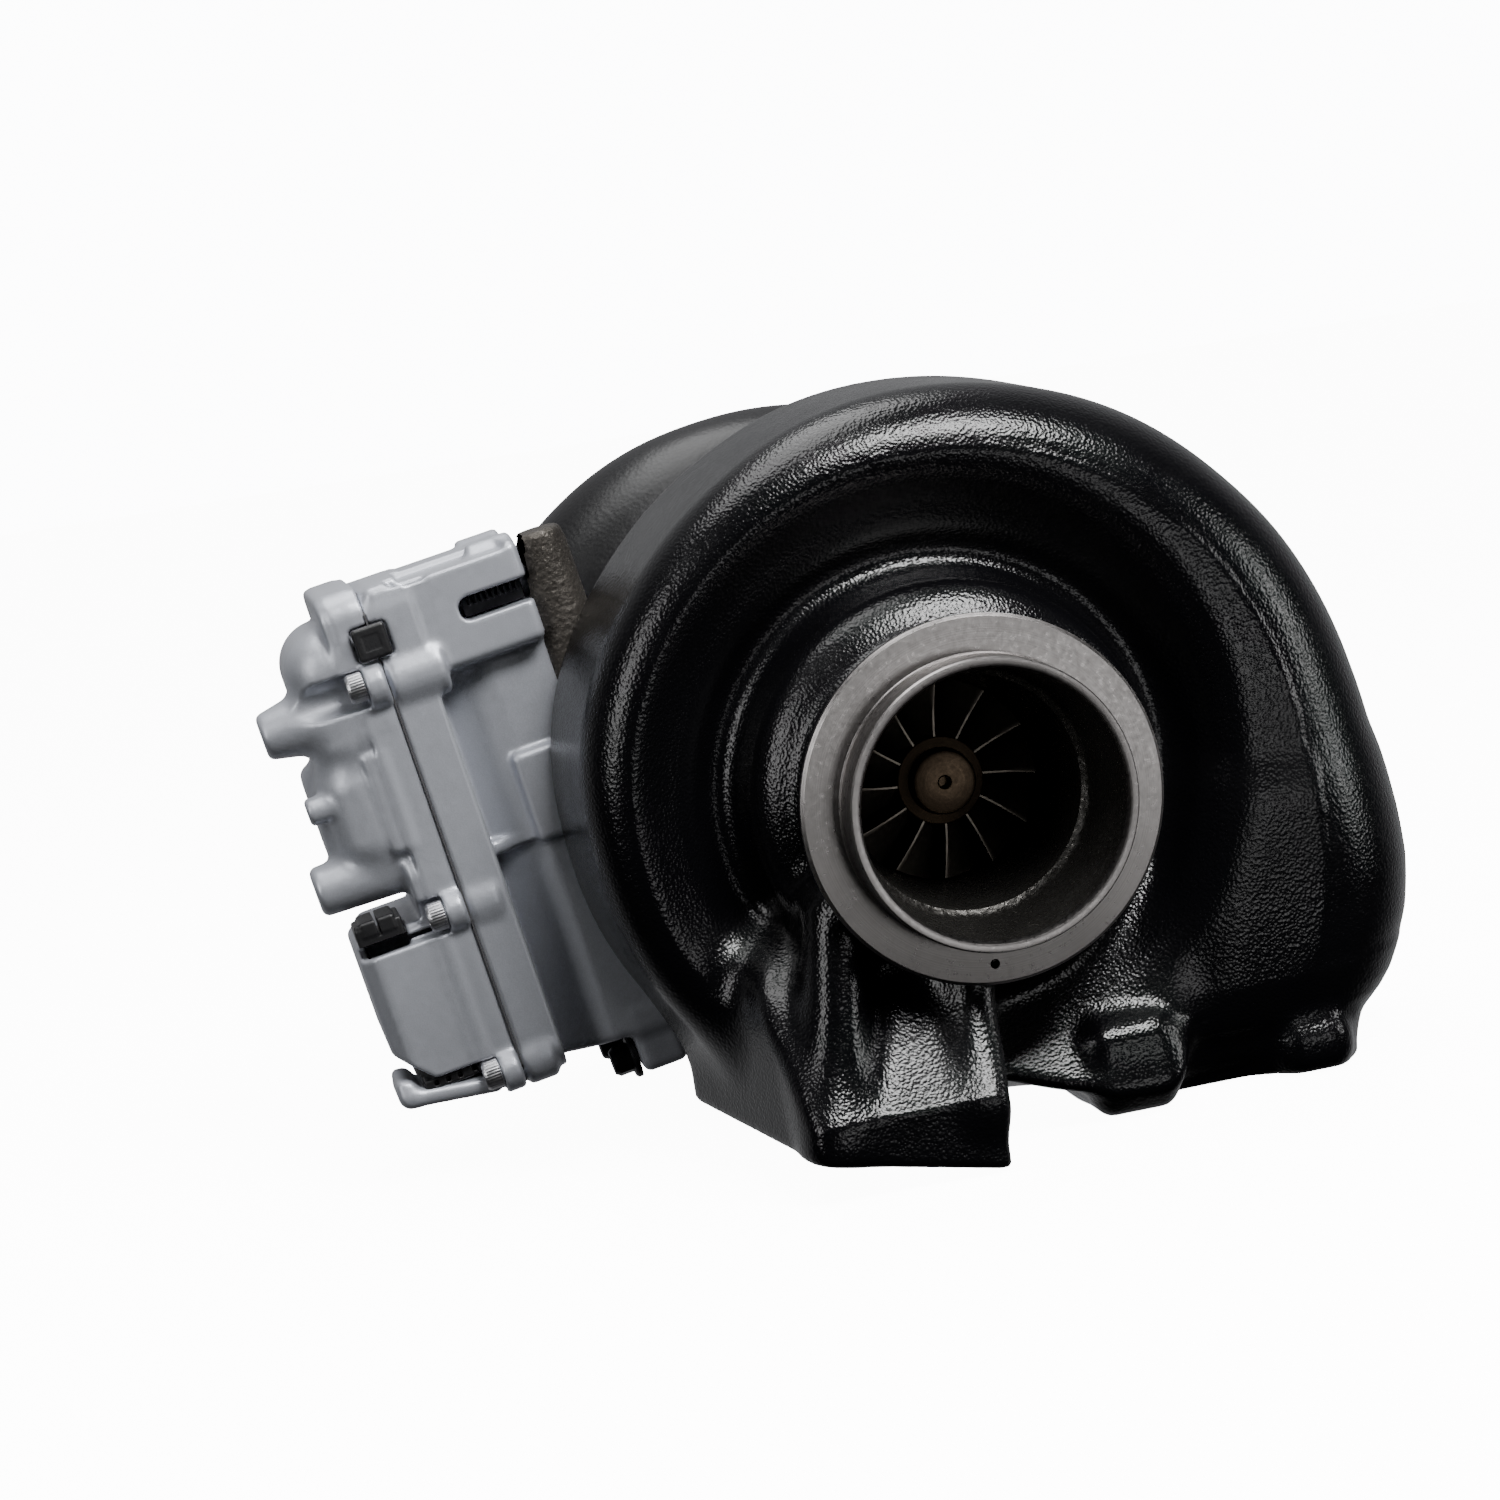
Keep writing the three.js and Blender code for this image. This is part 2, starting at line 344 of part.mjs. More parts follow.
// ---- actuator -----------------------------------------------------------
function gear(teeth, m, x0, x1, bore, first = 0, last = teeth, phase = 0, body = null) {
  // straight-flanked stub teeth centred on y = 0, z = 0
  const rp = (teeth * m) / 2, ra = rp + 0.75 * m, rf = rp - 0.95 * m;
  const pts = [], pitch = (2 * Math.PI) / teeth, slope = Math.tan(22 * D2R);
  const half = (r) => (0.25 * Math.PI * m - 0.13 - (r - rp) * slope) / r;
  for (let k = first; k < last; k++)
    for (const [r, side] of [[rf, -1], [ra, -1], [ra, 1], [rf, 1]]) {
      const a = k * pitch + side * half(r) + phase;
      pts.push([r * Math.sin(a), r * Math.cos(a)]);
    }
  if (body) pts.push(...body);
  const g = prismX(pts, x0, x1);
  return bore ? cut(g, cyl("x", bore, x0 - 1, x1 + 1, 0, 0, 14)) : g;
}
const sector = cut(gear(SECTOR_T, SECTOR_M, -132, -122, 0, -3, 4, 0, [[14, 0], [9.5, -8], [0, -11.5], [-9.5, -8], [-14, 0]]), cyl("x", 6.2, -140, -110, 0, 0, 14));
part("sector_gear", sector.rotate([-YOKE_HALF, 0, 0]).translate([0, GEAR_Y, CROSS_Z]), STEEL, actuatorFrame);
// the pinion shows a space where the leaning sector shows a tooth
const toothPitch = 360 / SECTOR_T, lead = (YOKE_HALF / toothPitch) % 1;
const pinionPhase = Math.PI + Math.PI / PINION_T - (lead * 2 * Math.PI) / PINION_T;
const idler = cut(
  union(gear(PINION_T, SECTOR_M, -139.6, -120, 0, 0, PINION_T, pinionPhase), gear(WHEEL_TEETH, WHEEL_M, -146, -139.5, 0)),
  cyl("x", 3.3, -150, -110, 0, 0, 12)
);
part("idler_gear", idler.translate([0, GEAR_Y, IDLER_Z]), PLASTIC, actuatorFrame);
part("idler_pin", cyl("x", 3, -149, -110, GEAR_Y, IDLER_Z, 12), STEEL, actuatorFrame);
part("motor_rotor", union(gear(PINION_T, WHEEL_M, -146.3, -139.2, 0, 0, PINION_T, Math.PI + Math.PI / PINION_T), cyl("x", 3, -180, -146, 0, 0, 10), cyl("x", 9, -178, -156, 0, 0, 12)).translate([0, GEAR_Y, MOTOR_Z]), STEEL, actuatorFrame);
part("motor_stator", cut(cyl("x", 15.5, -181, -154, GEAR_Y, MOTOR_Z, 20), cyl("x", 9.8, -190, -150, GEAR_Y, MOTOR_Z, 16)), STEEL, actuatorFrame);

// gear housing: flanged box open towards the cover
const bandPoly = [[100, -50], [106, -57], [166, -57], [171, -50], [171, 104], [164, 111], [108, 111], [101, 104]];
const inner = (poly, d, cy = 136, cz = 27) => poly.map(([y, z]) => [y + Math.sign(cy - y) * d, z + Math.sign(cz - z) * d]);
const bodyPoly = [[113, -52], [118, -57], [158, -57], [161, -52], [161, 100], [156, 107], [118, 107], [113, 100]];
let gearHousing = union(
  prismX(bandPoly, -149.8, -135),
  prismX(bodyPoly, -138, -96),
  box(-112, -96, 118, 130, -72, -50), box(-112, -96, 146, 158, -72, -50),
  prismX([[106, 80], [118, 80], [118, 110], [108, 110]], -138, -99),
  prismX([[110, 18], [116, 18], [116, 44], [110, 44]], -138, -120)
);
gearHousing = cut(
  gearHousing,
  prismX(inner(bandPoly, 4), -160, -138.8),
  prismX(inner(bodyPoly, 4.5), -142, -112),
  cyl("x", 30, -147, -138.8, GEAR_Y, IDLER_Z, 24),
  cyl("x", 6.3, -120, -90, GEAR_Y, CROSS_Z, 14),
  cyl("x", 3.3, -113, -109.5, GEAR_Y, IDLER_Z, 12),
  box(-124, -98, 100, 116, 91.5, 98.5),
  ...[[124, -66], [152, -66]].map(([y, z]) => cyl("x", 3.5, -120, -90, y, z, 10)),
  ...[[124, 92], [150, 92]].map(([y, z]) => cyl("x", 3.5, -113, -90, y, z, 10))
);
part("actuator_gear_housing", gearHousing, SILVER, actuatorFrame);
part("cover_gasket", cut(prismX(bandPoly, -150.7, -150.1), prismX(inner(bandPoly, 4), -155, -140)), GASKET, actuatorFrame);

// cover: flange, motor dome, electronics dome, stubs and connector box
const stubX = (r0, r1, x0, x1, y, z, seg = 16) => cyl("x", r1, x0, x1, y, z, seg, r0);
let cover = union(
  prismX(bandPoly, -162, -151),
  cyl("x", 21, -187, -160, 132, 42.5, 24),
  prismX(chamfered(104, 160, 64, 107, 12), -180, -160),
  stubX(11, 8.2, -193.5, -176, 122, 78),
  stubX(4.4, 4, -190, -184, 112, 49, 12),
  stubX(10.5, 8, -194, -170, 122, 22),
  prismX([[103, -41], [109, -47], [162, -47], [166, -41], [166, 4], [109, 4], [103, 0]], -188, -161),
  prismX([[104, -57], [128, -57], [128, -49], [104, -49]], -190, -161)
);
cover = cut(
  cover,
  prismX(inner(bandPoly, 4), -158.5, -140),
  cyl("x", 17, -183, -150, GEAR_Y, MOTOR_Z, 24),
  prismX(chamfered(109, 156, 69, 102, 10), -176, -150),
  box(-184.5, -150, 108, 161, -42, -1),
  ...[[103.5, 83], [103.5, 5], [103.5, -50]].map(([y, z]) => box(-166, -157.2, 90, 107.4, z - 6, z + 6)),
  ...[[168, 83], [168, 5], [168, -50]].map(([y, z]) => box(-166, -157.2, 164.4, 180, z - 6, z + 6)),
  ...[83, 5, -50].flatMap((z) => [cyl("x", 2.6, -170, -140, 103.2 + 2.2, z, 10), cyl("x", 2.6, -170, -140, 168.6 - 2.2, z, 10)]),
  box(-200, -184, 112, 124, 1, 8).translate([0, 0, 0]),
  box(-183, -167, 98, 110, 90, 90.1)
);
part("actuator_cover", cover, SILVER, actuatorFrame);
let n = 0;
for (const z of [83, 5, -50])
  for (const y of [102.2, 169.6]) {
    const s = union(cyl("x", 5, -163.2, -157.4, y, z, 12), cyl("x", 2.3, -158, -151.2, y + (y < 136 ? 3.2 : -3.2), z, 8));
    part("cover_screw_" + ++n, union(cyl("x", 5, -163.2, -157.4, y, z, 12)), ZINC, actuatorFrame);
  }
part("circuit_board", box(-174, -172, 115, 150, 75, 96), PCB, actuatorFrame);
part("harness_connector", union(box(-187, -171, 106, 124, 4.4, 9), box(-185, -173, 104, 122, 8.9, 10.6)), PLASTIC, actuatorFrame);
part("motor_connector", box(-183, -164, 104.5, 160, -48.8, -47.3), PLASTIC, actuatorFrame);
part("vent_plug", box(-156.8, -148, 97.6, 99.6, 90, 101), PLASTIC, actuatorFrame);
n = 0;
for (const [y, z] of [[124, -66], [152, -66]]) part("actuator_bolt_" + ++n, union(cyl("x", 3.2, -113, -96.5, y, z, 10), cyl("x", 7.5, -114.6, -112.3, y, z, 14), cyl("x", 5, -121, -114.4, y, z, 12)), BLACK_STEEL, actuatorFrame);

unit.position.set(-CENTRE_X, -CENTRE_Y, AXIS_UP);
const root = new THREE.Group();
root.add(unit);
export default root;
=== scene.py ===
import bpy, bmesh, math
import numpy as np
from mathutils import Matrix, Vector


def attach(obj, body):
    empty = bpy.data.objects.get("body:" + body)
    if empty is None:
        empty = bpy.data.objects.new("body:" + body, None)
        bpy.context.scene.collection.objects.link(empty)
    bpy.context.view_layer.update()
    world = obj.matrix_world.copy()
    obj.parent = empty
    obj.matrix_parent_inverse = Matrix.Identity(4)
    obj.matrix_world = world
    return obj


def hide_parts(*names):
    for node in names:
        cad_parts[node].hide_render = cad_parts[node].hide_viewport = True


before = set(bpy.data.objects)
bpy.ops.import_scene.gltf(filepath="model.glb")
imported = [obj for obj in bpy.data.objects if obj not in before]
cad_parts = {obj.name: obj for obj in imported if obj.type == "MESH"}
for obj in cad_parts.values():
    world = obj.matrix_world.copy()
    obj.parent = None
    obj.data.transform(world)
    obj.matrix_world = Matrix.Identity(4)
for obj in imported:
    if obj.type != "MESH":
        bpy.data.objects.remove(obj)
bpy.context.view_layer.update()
OFF = np.array([26.03, -131.0, 110.0])          # rotor axis at the outlet flange, in the part frame, mm
ROLL = math.radians(9.7)
CA, SA = math.cos(ROLL), math.sin(ROLL)


# ------------------------------------------------------------------ distance fields
def smin(a, b, k):
    h = np.clip(0.5 + 0.5 * (b - a) / k, 0, 1)
    return b + (a - b) * h - k * h * (1 - h)


def smax(a, b, k):
    return -smin(-a, -b, k)


def box2(px, py, hx, hy, r):
    qx, qy = np.abs(px) - hx + r, np.abs(py) - hy + r
    return np.minimum(np.maximum(qx, qy), 0) + np.hypot(np.maximum(qx, 0), np.maximum(qy, 0)) - r


def box3(x, y, z, lo, hi, r):
    c = [(a + b) / 2 for a, b in zip(lo, hi)]
    h = [(b - a) / 2 for a, b in zip(lo, hi)]
    q = [np.abs(v - cc) - hh + r for v, cc, hh in zip((x, y, z), c, h)]
    out = np.sqrt(sum(np.maximum(v, 0) ** 2 for v in q))
    return out + np.minimum(np.maximum(np.maximum(q[0], q[1]), q[2]), 0) - r


def rod(x, y, z, a, b, ra, rb=None):
    """cone-ended capsule between a and b"""
    rb = ra if rb is None else rb
    a, b = np.array(a, np.float32), np.array(b, np.float32)
    d = b - a
    t = np.clip(((x - a[0]) * d[0] + (y - a[1]) * d[1] + (z - a[2]) * d[2]) / float(d @ d), 0, 1)
    return np.sqrt((x - a[0] - t * d[0]) ** 2 + (y - a[1] - t * d[1]) ** 2 + (z - a[2] - t * d[2]) ** 2) - (ra + (rb - ra) * t)


def disc(u, v, w, w0, w1, r, edge):
    """cylinder of radius r round the w direction"""
    return box2(np.hypot(u, v), w - (w0 + w1) / 2, r, abs(w1 - w0) / 2, edge)


def cone(u, v, w, w0, w1, r0, r1, edge):
    t = np.clip((w - w0) / (w1 - w0), 0, 1)
    rr = r0 + (r1 - r0) * t
    q = np.hypot(u, v) - rr
    return smax(q * 0.96, np.abs(w - (w0 + w1) / 2) - abs(w1 - w0) / 2, edge)


def periodic(rows, width=4.0):
    a = np.array(rows, float)
    g = np.arange(-540, 541) * 1.0
    th = np.concatenate([a[:, 0] - 360, a[:, 0], a[:, 0] + 360])
    v = np.concatenate([a[:, 1]] * 3)
    o = np.argsort(th)
    t = np.interp(g, th[o], v[o])
    k = np.exp(-0.5 * (np.arange(-16, 17) / width) ** 2)
    t = np.convolve(np.pad(t, 16, mode="edge"), k / k.sum(), "valid")
    return lambda d: np.interp(d, g, t).astype(np.float32)


def surface(f, lo, hi, h, newton=2):
    """closed mesh of f = 0 by surface nets, its points then moved onto the exact surface"""
    lo, hi = np.array(lo, float), np.array(hi, float)
    n = np.ceil((hi - lo) / h).astype(int) + 1
    B = 6
    n = (np.ceil(n / B) * B).astype(int) + 1
    ax = [np.float32(lo[i] + h * np.arange(n[i])) for i in range(3)]
    c = [np.float32(lo[i] + h * (B * np.arange((n[i] - 1) // B) + B / 2)) for i in range(3)]
    C = np.stack(np.meshgrid(*c, indexing="ij"), -1).reshape(-1, 3)
    dc = f(C)
    near = np.abs(dc) < B * h * 0.87 * 1.25 + 2.0
    nb = [len(v) for v in c]
    F = np.empty(tuple(n), np.float32)
    coarse = dc.reshape(nb)
    F[:-1, :-1, :-1] = np.repeat(np.repeat(np.repeat(coarse, B, 0), B, 1), B, 2)
    F[-1], F[:, -1], F[:, :, -1] = 9, 9, 9
    need = np.zeros(tuple(n), bool)
    nearb = near.reshape(nb)
    big = np.repeat(np.repeat(np.repeat(nearb, B, 0), B, 1), B, 2)
    need[:-1, :-1, :-1] |= big
    need[1:, :-1, :-1] |= big; need[:-1, 1:, :-1] |= big; need[:-1, :-1, 1:] |= big
    need[1:, 1:, :-1] |= big; need[1:, :-1, 1:] |= big; need[:-1, 1:, 1:] |= big; need[1:, 1:, 1:] |= big
    idx = np.nonzero(need)
    vals = np.empty(len(idx[0]), np.float32)
    step = 400000
    for s in range(0, len(vals), step):
        sl = slice(s, s + step)
        vals[sl] = f(np.stack([ax[0][idx[0][sl]], ax[1][idx[1][sl]], ax[2][idx[2][sl]]], -1))
    F[idx] = vals
    F[np.abs(F) < 1e-5] = 1e-5
    S = F < 0
    cnt = sum(S[i:i + n[0] - 1, j:j + n[1] - 1, k:k + n[2] - 1].astype(np.int8) for i in (0, 1) for j in (0, 1) for k in (0, 1))
    act = np.nonzero((cnt > 0) & (cnt < 8))
    vid = np.full(tuple(n - 1), -1, np.int32)
    vid[act] = np.arange(len(act[0]))
    P = np.zeros((len(act[0]), 3)); W = np.zeros(len(act[0]))
    base = np.stack(act, -1)
    for a in range(3):
        u, v = [b for b in range(3) if b != a]
        for du in (0, 1):
            for dv in (0, 1):
                o = np.zeros(3, int); o[u], o[v] = du, dv
                p0 = base + o; p1 = p0.copy(); p1[:, a] += 1
                f0 = F[p0[:, 0], p0[:, 1], p0[:, 2]]; f1 = F[p1[:, 0], p1[:, 1], p1[:, 2]]
                m = (f0 < 0) != (f1 < 0)
                t = np.where(m, f0 / np.where(m, f0 - f1, 1), 0)
                q = p0.astype(float); q[:, a] += t
                P[m] += q[m]; W[m] += 1
    P = lo + h * P / W[:, None]
    quads = []
    for a in range(3):
        u, v = (a + 1) % 3, (a + 2) % 3
        s0 = [slice(0, n[b] - 1) if b == a else slice(1, n[b] - 1) for b in range(3)]
        s1 = list(s0); s1[a] = slice(1, n[a])
        A, Bq = S[tuple(s0)], S[tuple(s1)]
        for flag, flip in ((A & ~Bq, False), (~A & Bq, True)):
            e = np.stack(np.nonzero(flag), -1)
            for b in range(3):
                if b != a:
                    e[:, b] += 1
            ou, ov = np.eye(3, dtype=int)[u], np.eye(3, dtype=int)[v]
            g = lambda q: vid[q[:, 0], q[:, 1], q[:, 2]]
            loop = [g(e - ou - ov), g(e - ov), g(e), g(e - ou)]
            quads.append(np.stack(loop[::-1] if flip else loop, -1))
    Q = np.concatenate(quads)
    for _ in range(newton):
        e = 0.02 * h
        d0 = np.empty(len(P)); G = np.empty_like(P)
        for s in range(0, len(P), step):
            sl = slice(s, s + step)
            p = P[sl]
            d0[sl] = f(p)
            for a in range(3):
                q = p.copy(); q[:, a] += 0.3
                r = p.copy(); r[:, a] -= 0.3
                G[sl, a] = (f(q) - f(r)) / 0.6
        g2 = np.maximum((G ** 2).sum(1), 0.25)
        mv = -(d0 / g2)[:, None] * G
        ln = np.linalg.norm(mv, axis=1, keepdims=True)
        P = P + mv * np.minimum(1, 0.8 * h / np.maximum(ln, 1e-9))
    return P, Q


def object_of(name, P, faces, smooth=True):
    me = bpy.data.meshes.new(name)
    P = (np.asarray(P, float) + OFF) / 1000.0
    me.vertices.add(len(P))
    me.vertices.foreach_set("co", P.ravel())
    faces = np.asarray(faces, np.int32)
    k = faces.shape[1]
    me.loops.add(faces.size)
    me.loops.foreach_set("vertex_index", faces.ravel())
    me.polygons.add(len(faces))
    me.polygons.foreach_set("loop_start", np.arange(0, faces.size, k, dtype=np.int32))
    me.polygons.foreach_set("loop_total", np.full(len(faces), k, np.int32))
    me.update(calc_edges=True)
    me.validate()
    if smooth:
        me.polygons.foreach_set("use_smooth", np.ones(len(me.polygons), bool))
    ob = bpy.data.objects.new(name, me)
    bpy.context.scene.collection.objects.link(ob)
    return ob


def from_act(P):
    """actuator frame to rotor frame"""
    P = np.asarray(P, float)
    return np.stack([P[:, 0] * CA - P[:, 2] * SA, P[:, 1], P[:, 0] * SA + P[:, 2] * CA], -1)


def to_act(P):
    return P[:, 0] * CA + P[:, 2] * SA, P[:, 1], -P[:, 0] * SA + P[:, 2] * CA


def sdf_piece(name, f, lo, hi, h, mat, node=None, body="housing", act=False):
    P, Q = surface(f, lo, hi, h)
    if act:
        P = from_act(P)
    ob = object_of(name, P, Q)
    ob.data.materials.append(mat)
    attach(ob, body)
    if node:
        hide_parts(*([node] if isinstance(node, str) else node))
    return ob


def sharp(ob, deg=35):
    me = ob.data
    me.polygons.foreach_set("use_smooth", np.ones(len(me.polygons), bool))
    bm = bmesh.new(); bm.from_mesh(me)
    for e in bm.edges:
        if len(e.link_faces) == 2:
            e.smooth = e.calc_face_angle(0) < math.radians(deg)
        else:
            e.smooth = False
    bm.to_mesh(me); bm.free()


def lathe(name, prof, mat, seg=160, body="housing", closed=True, a0=0.0, a1=360.0, node=None, rot=None, deg=30):
    """revolve [r, y] rows about the rotor axis; full turn unless a0, a1 say less"""
    prof = np.array(prof, float)
    full = abs(a1 - a0 - 360) < 1e-6
    th = np.radians(np.linspace(a0, a1, seg + (0 if full else 1), endpoint=not full))
    n, m = len(prof), len(th)
    P = np.stack([np.outer(np.cos(th), prof[:, 0]), np.tile(prof[:, 1], (m, 1)), np.outer(np.sin(th), prof[:, 0])], -1).reshape(-1, 3)
    F = []
    rows = m if full else m - 1
    for i in range(rows):
        j = (i + 1) % m
        for k in range(n if closed else n - 1):
            k2 = (k + 1) % n
            F.append((i * n + k, i * n + k2, j * n + k2, j * n + k))
    bm = bmesh.new()
    vs = [bm.verts.new(p) for p in P]
    for q in F:
        try:
            bm.faces.new([vs[a] for a in q])
        except ValueError:
            pass
    if not full and closed:
        for i in (0, m - 1):
            bm.faces.new([vs[i * n + k] for k in range(n)])
    bmesh.ops.remove_doubles(bm, verts=bm.verts, dist=1e-4)
    bmesh.ops.recalc_face_normals(bm, faces=bm.faces)
    me = bpy.data.meshes.new(name)
    bm.to_mesh(me); bm.free()
    M = Matrix.Identity(4) if rot is None else rot
    me.transform(M)
    me.transform(Matrix.Scale(0.001, 4) @ Matrix.Translation(Vector(OFF)))
    ob = bpy.data.objects.new(name, me)
    bpy.context.scene.collection.objects.link(ob)
    sharp(ob, deg)
    me.materials.append(mat)
    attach(ob, body)
    if node:
        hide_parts(*([node] if isinstance(node, str) else node))
    return ob


# ------------------------------------------------------------------ materials
class Mat:
    def __init__(self, name):
        self.m = bpy.data.materials.new(name)
        self.m.use_nodes = True
        self.t = self.m.node_tree
        self.b = self.t.nodes["Principled BSDF"]
        self.co = self.t.nodes.new("ShaderNodeTexCoord").outputs["Object"]

    def node(self, kind, **k):
        n = self.t.nodes.new(kind)
        for a, v in k.items():
            if a in n.inputs:
                n.inputs[a].default_value = v
            else:
                setattr(n, a, v)
        return n

    def noise(self, scale, detail=3, rough=0.55, co=None, distortion=0.0):
        n = self.node("ShaderNodeTexNoise", Scale=scale, Detail=detail, Roughness=rough, Distortion=distortion)
        self.t.links.new(co or self.co, n.inputs["Vector"])
        return n.outputs["Fac"]

    def voronoi(self, scale, feature="SMOOTH_F1", co=None, smooth=0.6):
        n = self.node("ShaderNodeTexVoronoi", feature=feature)
        n.inputs["Scale"].default_value = scale
        if "Smoothness" in n.inputs:
            n.inputs["Smoothness"].default_value = smooth
        self.t.links.new(co or self.co, n.inputs["Vector"])
        return n.outputs["Distance"]

    def ramp(self, fac, stops):
        n = self.node("ShaderNodeValToRGB")
        cr = n.color_ramp
        while len(cr.elements) < len(stops):
            cr.elements.new(0.5)
        for e, (p, c) in zip(cr.elements, stops):
            e.position = p
            e.color = tuple(c) + (1,) if len(c) == 3 else c
        self.t.links.new(fac, n.inputs["Fac"])
        return n.outputs["Color"]

    def val(self, fac, a, b, lo=0.0, hi=1.0):
        n = self.node("ShaderNodeMapRange")
        n.inputs["From Min"].default_value = a
        n.inputs["From Max"].default_value = b
        n.inputs["To Min"].default_value = lo
        n.inputs["To Max"].default_value = hi
        self.t.links.new(fac, n.inputs["Value"])
        return n.outputs["Result"]

    def math(self, op, a, b):
        n = self.node("ShaderNodeMath", operation=op)
        for i, v in enumerate((a, b)):
            if isinstance(v, (int, float)):
                n.inputs[i].default_value = v
            else:
                self.t.links.new(v, n.inputs[i])
        return n.outputs["Value"]

    def mix(self, fac, a, b):
        n = self.node("ShaderNodeMix", data_type="RGBA")
        for s, v in ((n.inputs[0], fac), (n.inputs[6], a), (n.inputs[7], b)):
            if isinstance(v, (int, float)):
                s.default_value = v
            elif isinstance(v, tuple):
                s.default_value = tuple(v) + (1,) if len(v) == 3 else v
            else:
                self.t.links.new(v, s)
        return n.outputs[2]

    def bump(self, height, dist, strength=1.0, after=None):
        n = self.node("ShaderNodeBump")
        n.inputs["Strength"].default_value = strength
        n.inputs["Distance"].default_value = dist
        self.t.links.new(height, n.inputs["Height"])
        if after is not None:
            self.t.links.new(after, n.inputs["Normal"])
        return n.outputs["Normal"]

    def set(self, **k):
        for a, v in k.items():
            a = a.replace("_", " ")
            s = self.b.inputs[a]
            if isinstance(v, (int, float)):
                s.default_value = v
            elif isinstance(v, tuple):
                s.default_value = tuple(v) + (1,) if len(v) == 3 else v
            else:
                self.t.links.new(v, s)
        return self


def black_paint(name, rough=0.18, bump=0.00015, scale=1050, base=(0.0020, 0.0020, 0.0026), big=0.00009):
    m = Mat(name)
    cells = m.voronoi(scale, smooth=0.75)
    fine = m.noise(scale * 2.4, 3, 0.6)
    patch = m.noise(26, 4, 0.6)
    worn = m.noise(70, 6, 0.68)
    n = m.bump(m.noise(95, 2, 0.5), big, 0.6)
    n = m.bump(cells, bump, 1.0, n)
    n = m.bump(fine, bump * 0.3, 0.7, n)
    r = m.math("ADD", m.val(patch, 0.3, 0.7, rough - 0.05, rough + 0.07), m.val(fine, 0.3, 0.7, -0.02, 0.03))
    dust = m.ramp(worn, [(0.66, base), (0.82, tuple(c * 1.7 + 0.006 for c in base))])
    m.set(Base_Color=dust, Roughness=r, Normal=n, Specular_IOR_Level=0.40)
    return m.m


def cast_iron(name, tone=(0.105, 0.098, 0.088), scale=900, rough=0.62, metal=0.55):
    m = Mat(name)
    a = m.noise(scale, 4, 0.62)
    b = m.voronoi(scale * 0.8, smooth=0.4)
    n = m.bump(a, 0.0005, 0.9)
    n = m.bump(b, 0.0003, 0.8, n)
    sp = m.noise(scale * 1.7, 2, 0.5)
    tint = m.ramp(m.noise(30, 5, 0.65), [(0.35, tuple(c * 0.75 for c in tone)), (0.62, tuple(c * 1.25 for c in tone))])
    col = m.mix(m.val(sp, 0.63, 0.72), tint, tuple(min(1, c * 3.2) for c in tone))
    m.set(Base_Color=col, Roughness=m.val(sp, 0.35, 0.75, rough + 0.12, rough - 0.26), Metallic=metal, Normal=n)
    return m.m


def silver_paint(name, tone=(0.42, 0.435, 0.475), rough=0.40):
    m = Mat(name)
    f = m.noise(2600, 2, 0.5)
    g = m.noise(420, 4, 0.6)
    broad = m.noise(14, 3, 0.5)
    n = m.bump(g, 0.00008, 0.6)
    n = m.bump(f, 0.00003, 0.5, n)
    col = m.mix(m.val(broad, 0.3, 0.7), tuple(c * 0.94 for c in tone), tuple(c * 1.06 for c in tone))
    col = m.mix(m.val(f, 0.35, 0.7, 0, 0.35), col, tuple(min(1, c * 1.35) for c in tone))
    marks = m.noise(55, 8, 0.75, distortion=1.5)
    col = m.mix(m.val(marks, 0.73, 0.80, 0, 0.4), col, tuple(c * 0.45 for c in tone))
    m.set(Base_Color=col, Metallic=0.55, Roughness=m.val(g, 0.3, 0.7, rough - 0.04, rough + 0.08), Normal=n)
    return m.m


def metal(name, tone, rough=0.28, lines=None, bump=0.00003, scale=700, aniso=0.0):
    m = Mat(name)
    g = m.noise(scale, 4, 0.6)
    n = m.bump(g, bump, 0.7)
    col = m.mix(m.val(m.noise(40, 5, 0.6), 0.3, 0.7), tuple(c * 0.85 for c in tone), tuple(min(1, c * 1.1) for c in tone))
    if lines:                         # turning marks: rings about the rotor axis
        sep = m.node("ShaderNodeSeparateXYZ")
        m.t.links.new(m.co, sep.inputs[0])
        x = m.math("SUBTRACT", sep.outputs[0], OFF[0] / 1000)
        z = m.math("SUBTRACT", sep.outputs[2], OFF[2] / 1000)
        r = m.math("SQRT", m.math("ADD", m.math("MULTIPLY", x, x), m.math("MULTIPLY", z, z)), 0)
        comb = m.node("ShaderNodeCombineXYZ")
        m.t.links.new(r, comb.inputs[0])
        m.t.links.new(m.math("MULTIPLY", sep.outputs[1], 0.6), comb.inputs[1])
        rings = m.noise(lines, 3, 0.75, co=comb.outputs[0])
        n = m.bump(rings, 0.00002, 0.8, n)
        col = m.mix(m.val(rings, 0.32, 0.68, 0, 0.85), col, tuple(c * 0.58 for c in tone))
    m.set(Base_Color=col, Metallic=1.0, Roughness=m.val(g, 0.3, 0.7, rough - 0.05, rough + 0.08), Normal=n)
    if aniso:
        m.set(Anisotropic=aniso)
    return m.m


def plastic(name, tone, rough=0.45, bump=0.00006):
    m = Mat(name)
    g = m.noise(1500, 3, 0.6)
    n = m.bump(g, bump, 0.6)
    col = m.mix(m.val(m.noise(60, 4, 0.6), 0.3, 0.7), tuple(c * 0.8 for c in tone), tuple(c * 1.25 + 0.001 for c in tone))
    m.set(Base_Color=col, Roughness=m.val(g, 0.3, 0.7, rough - 0.06, rough + 0.08), Normal=n)
    return m.m


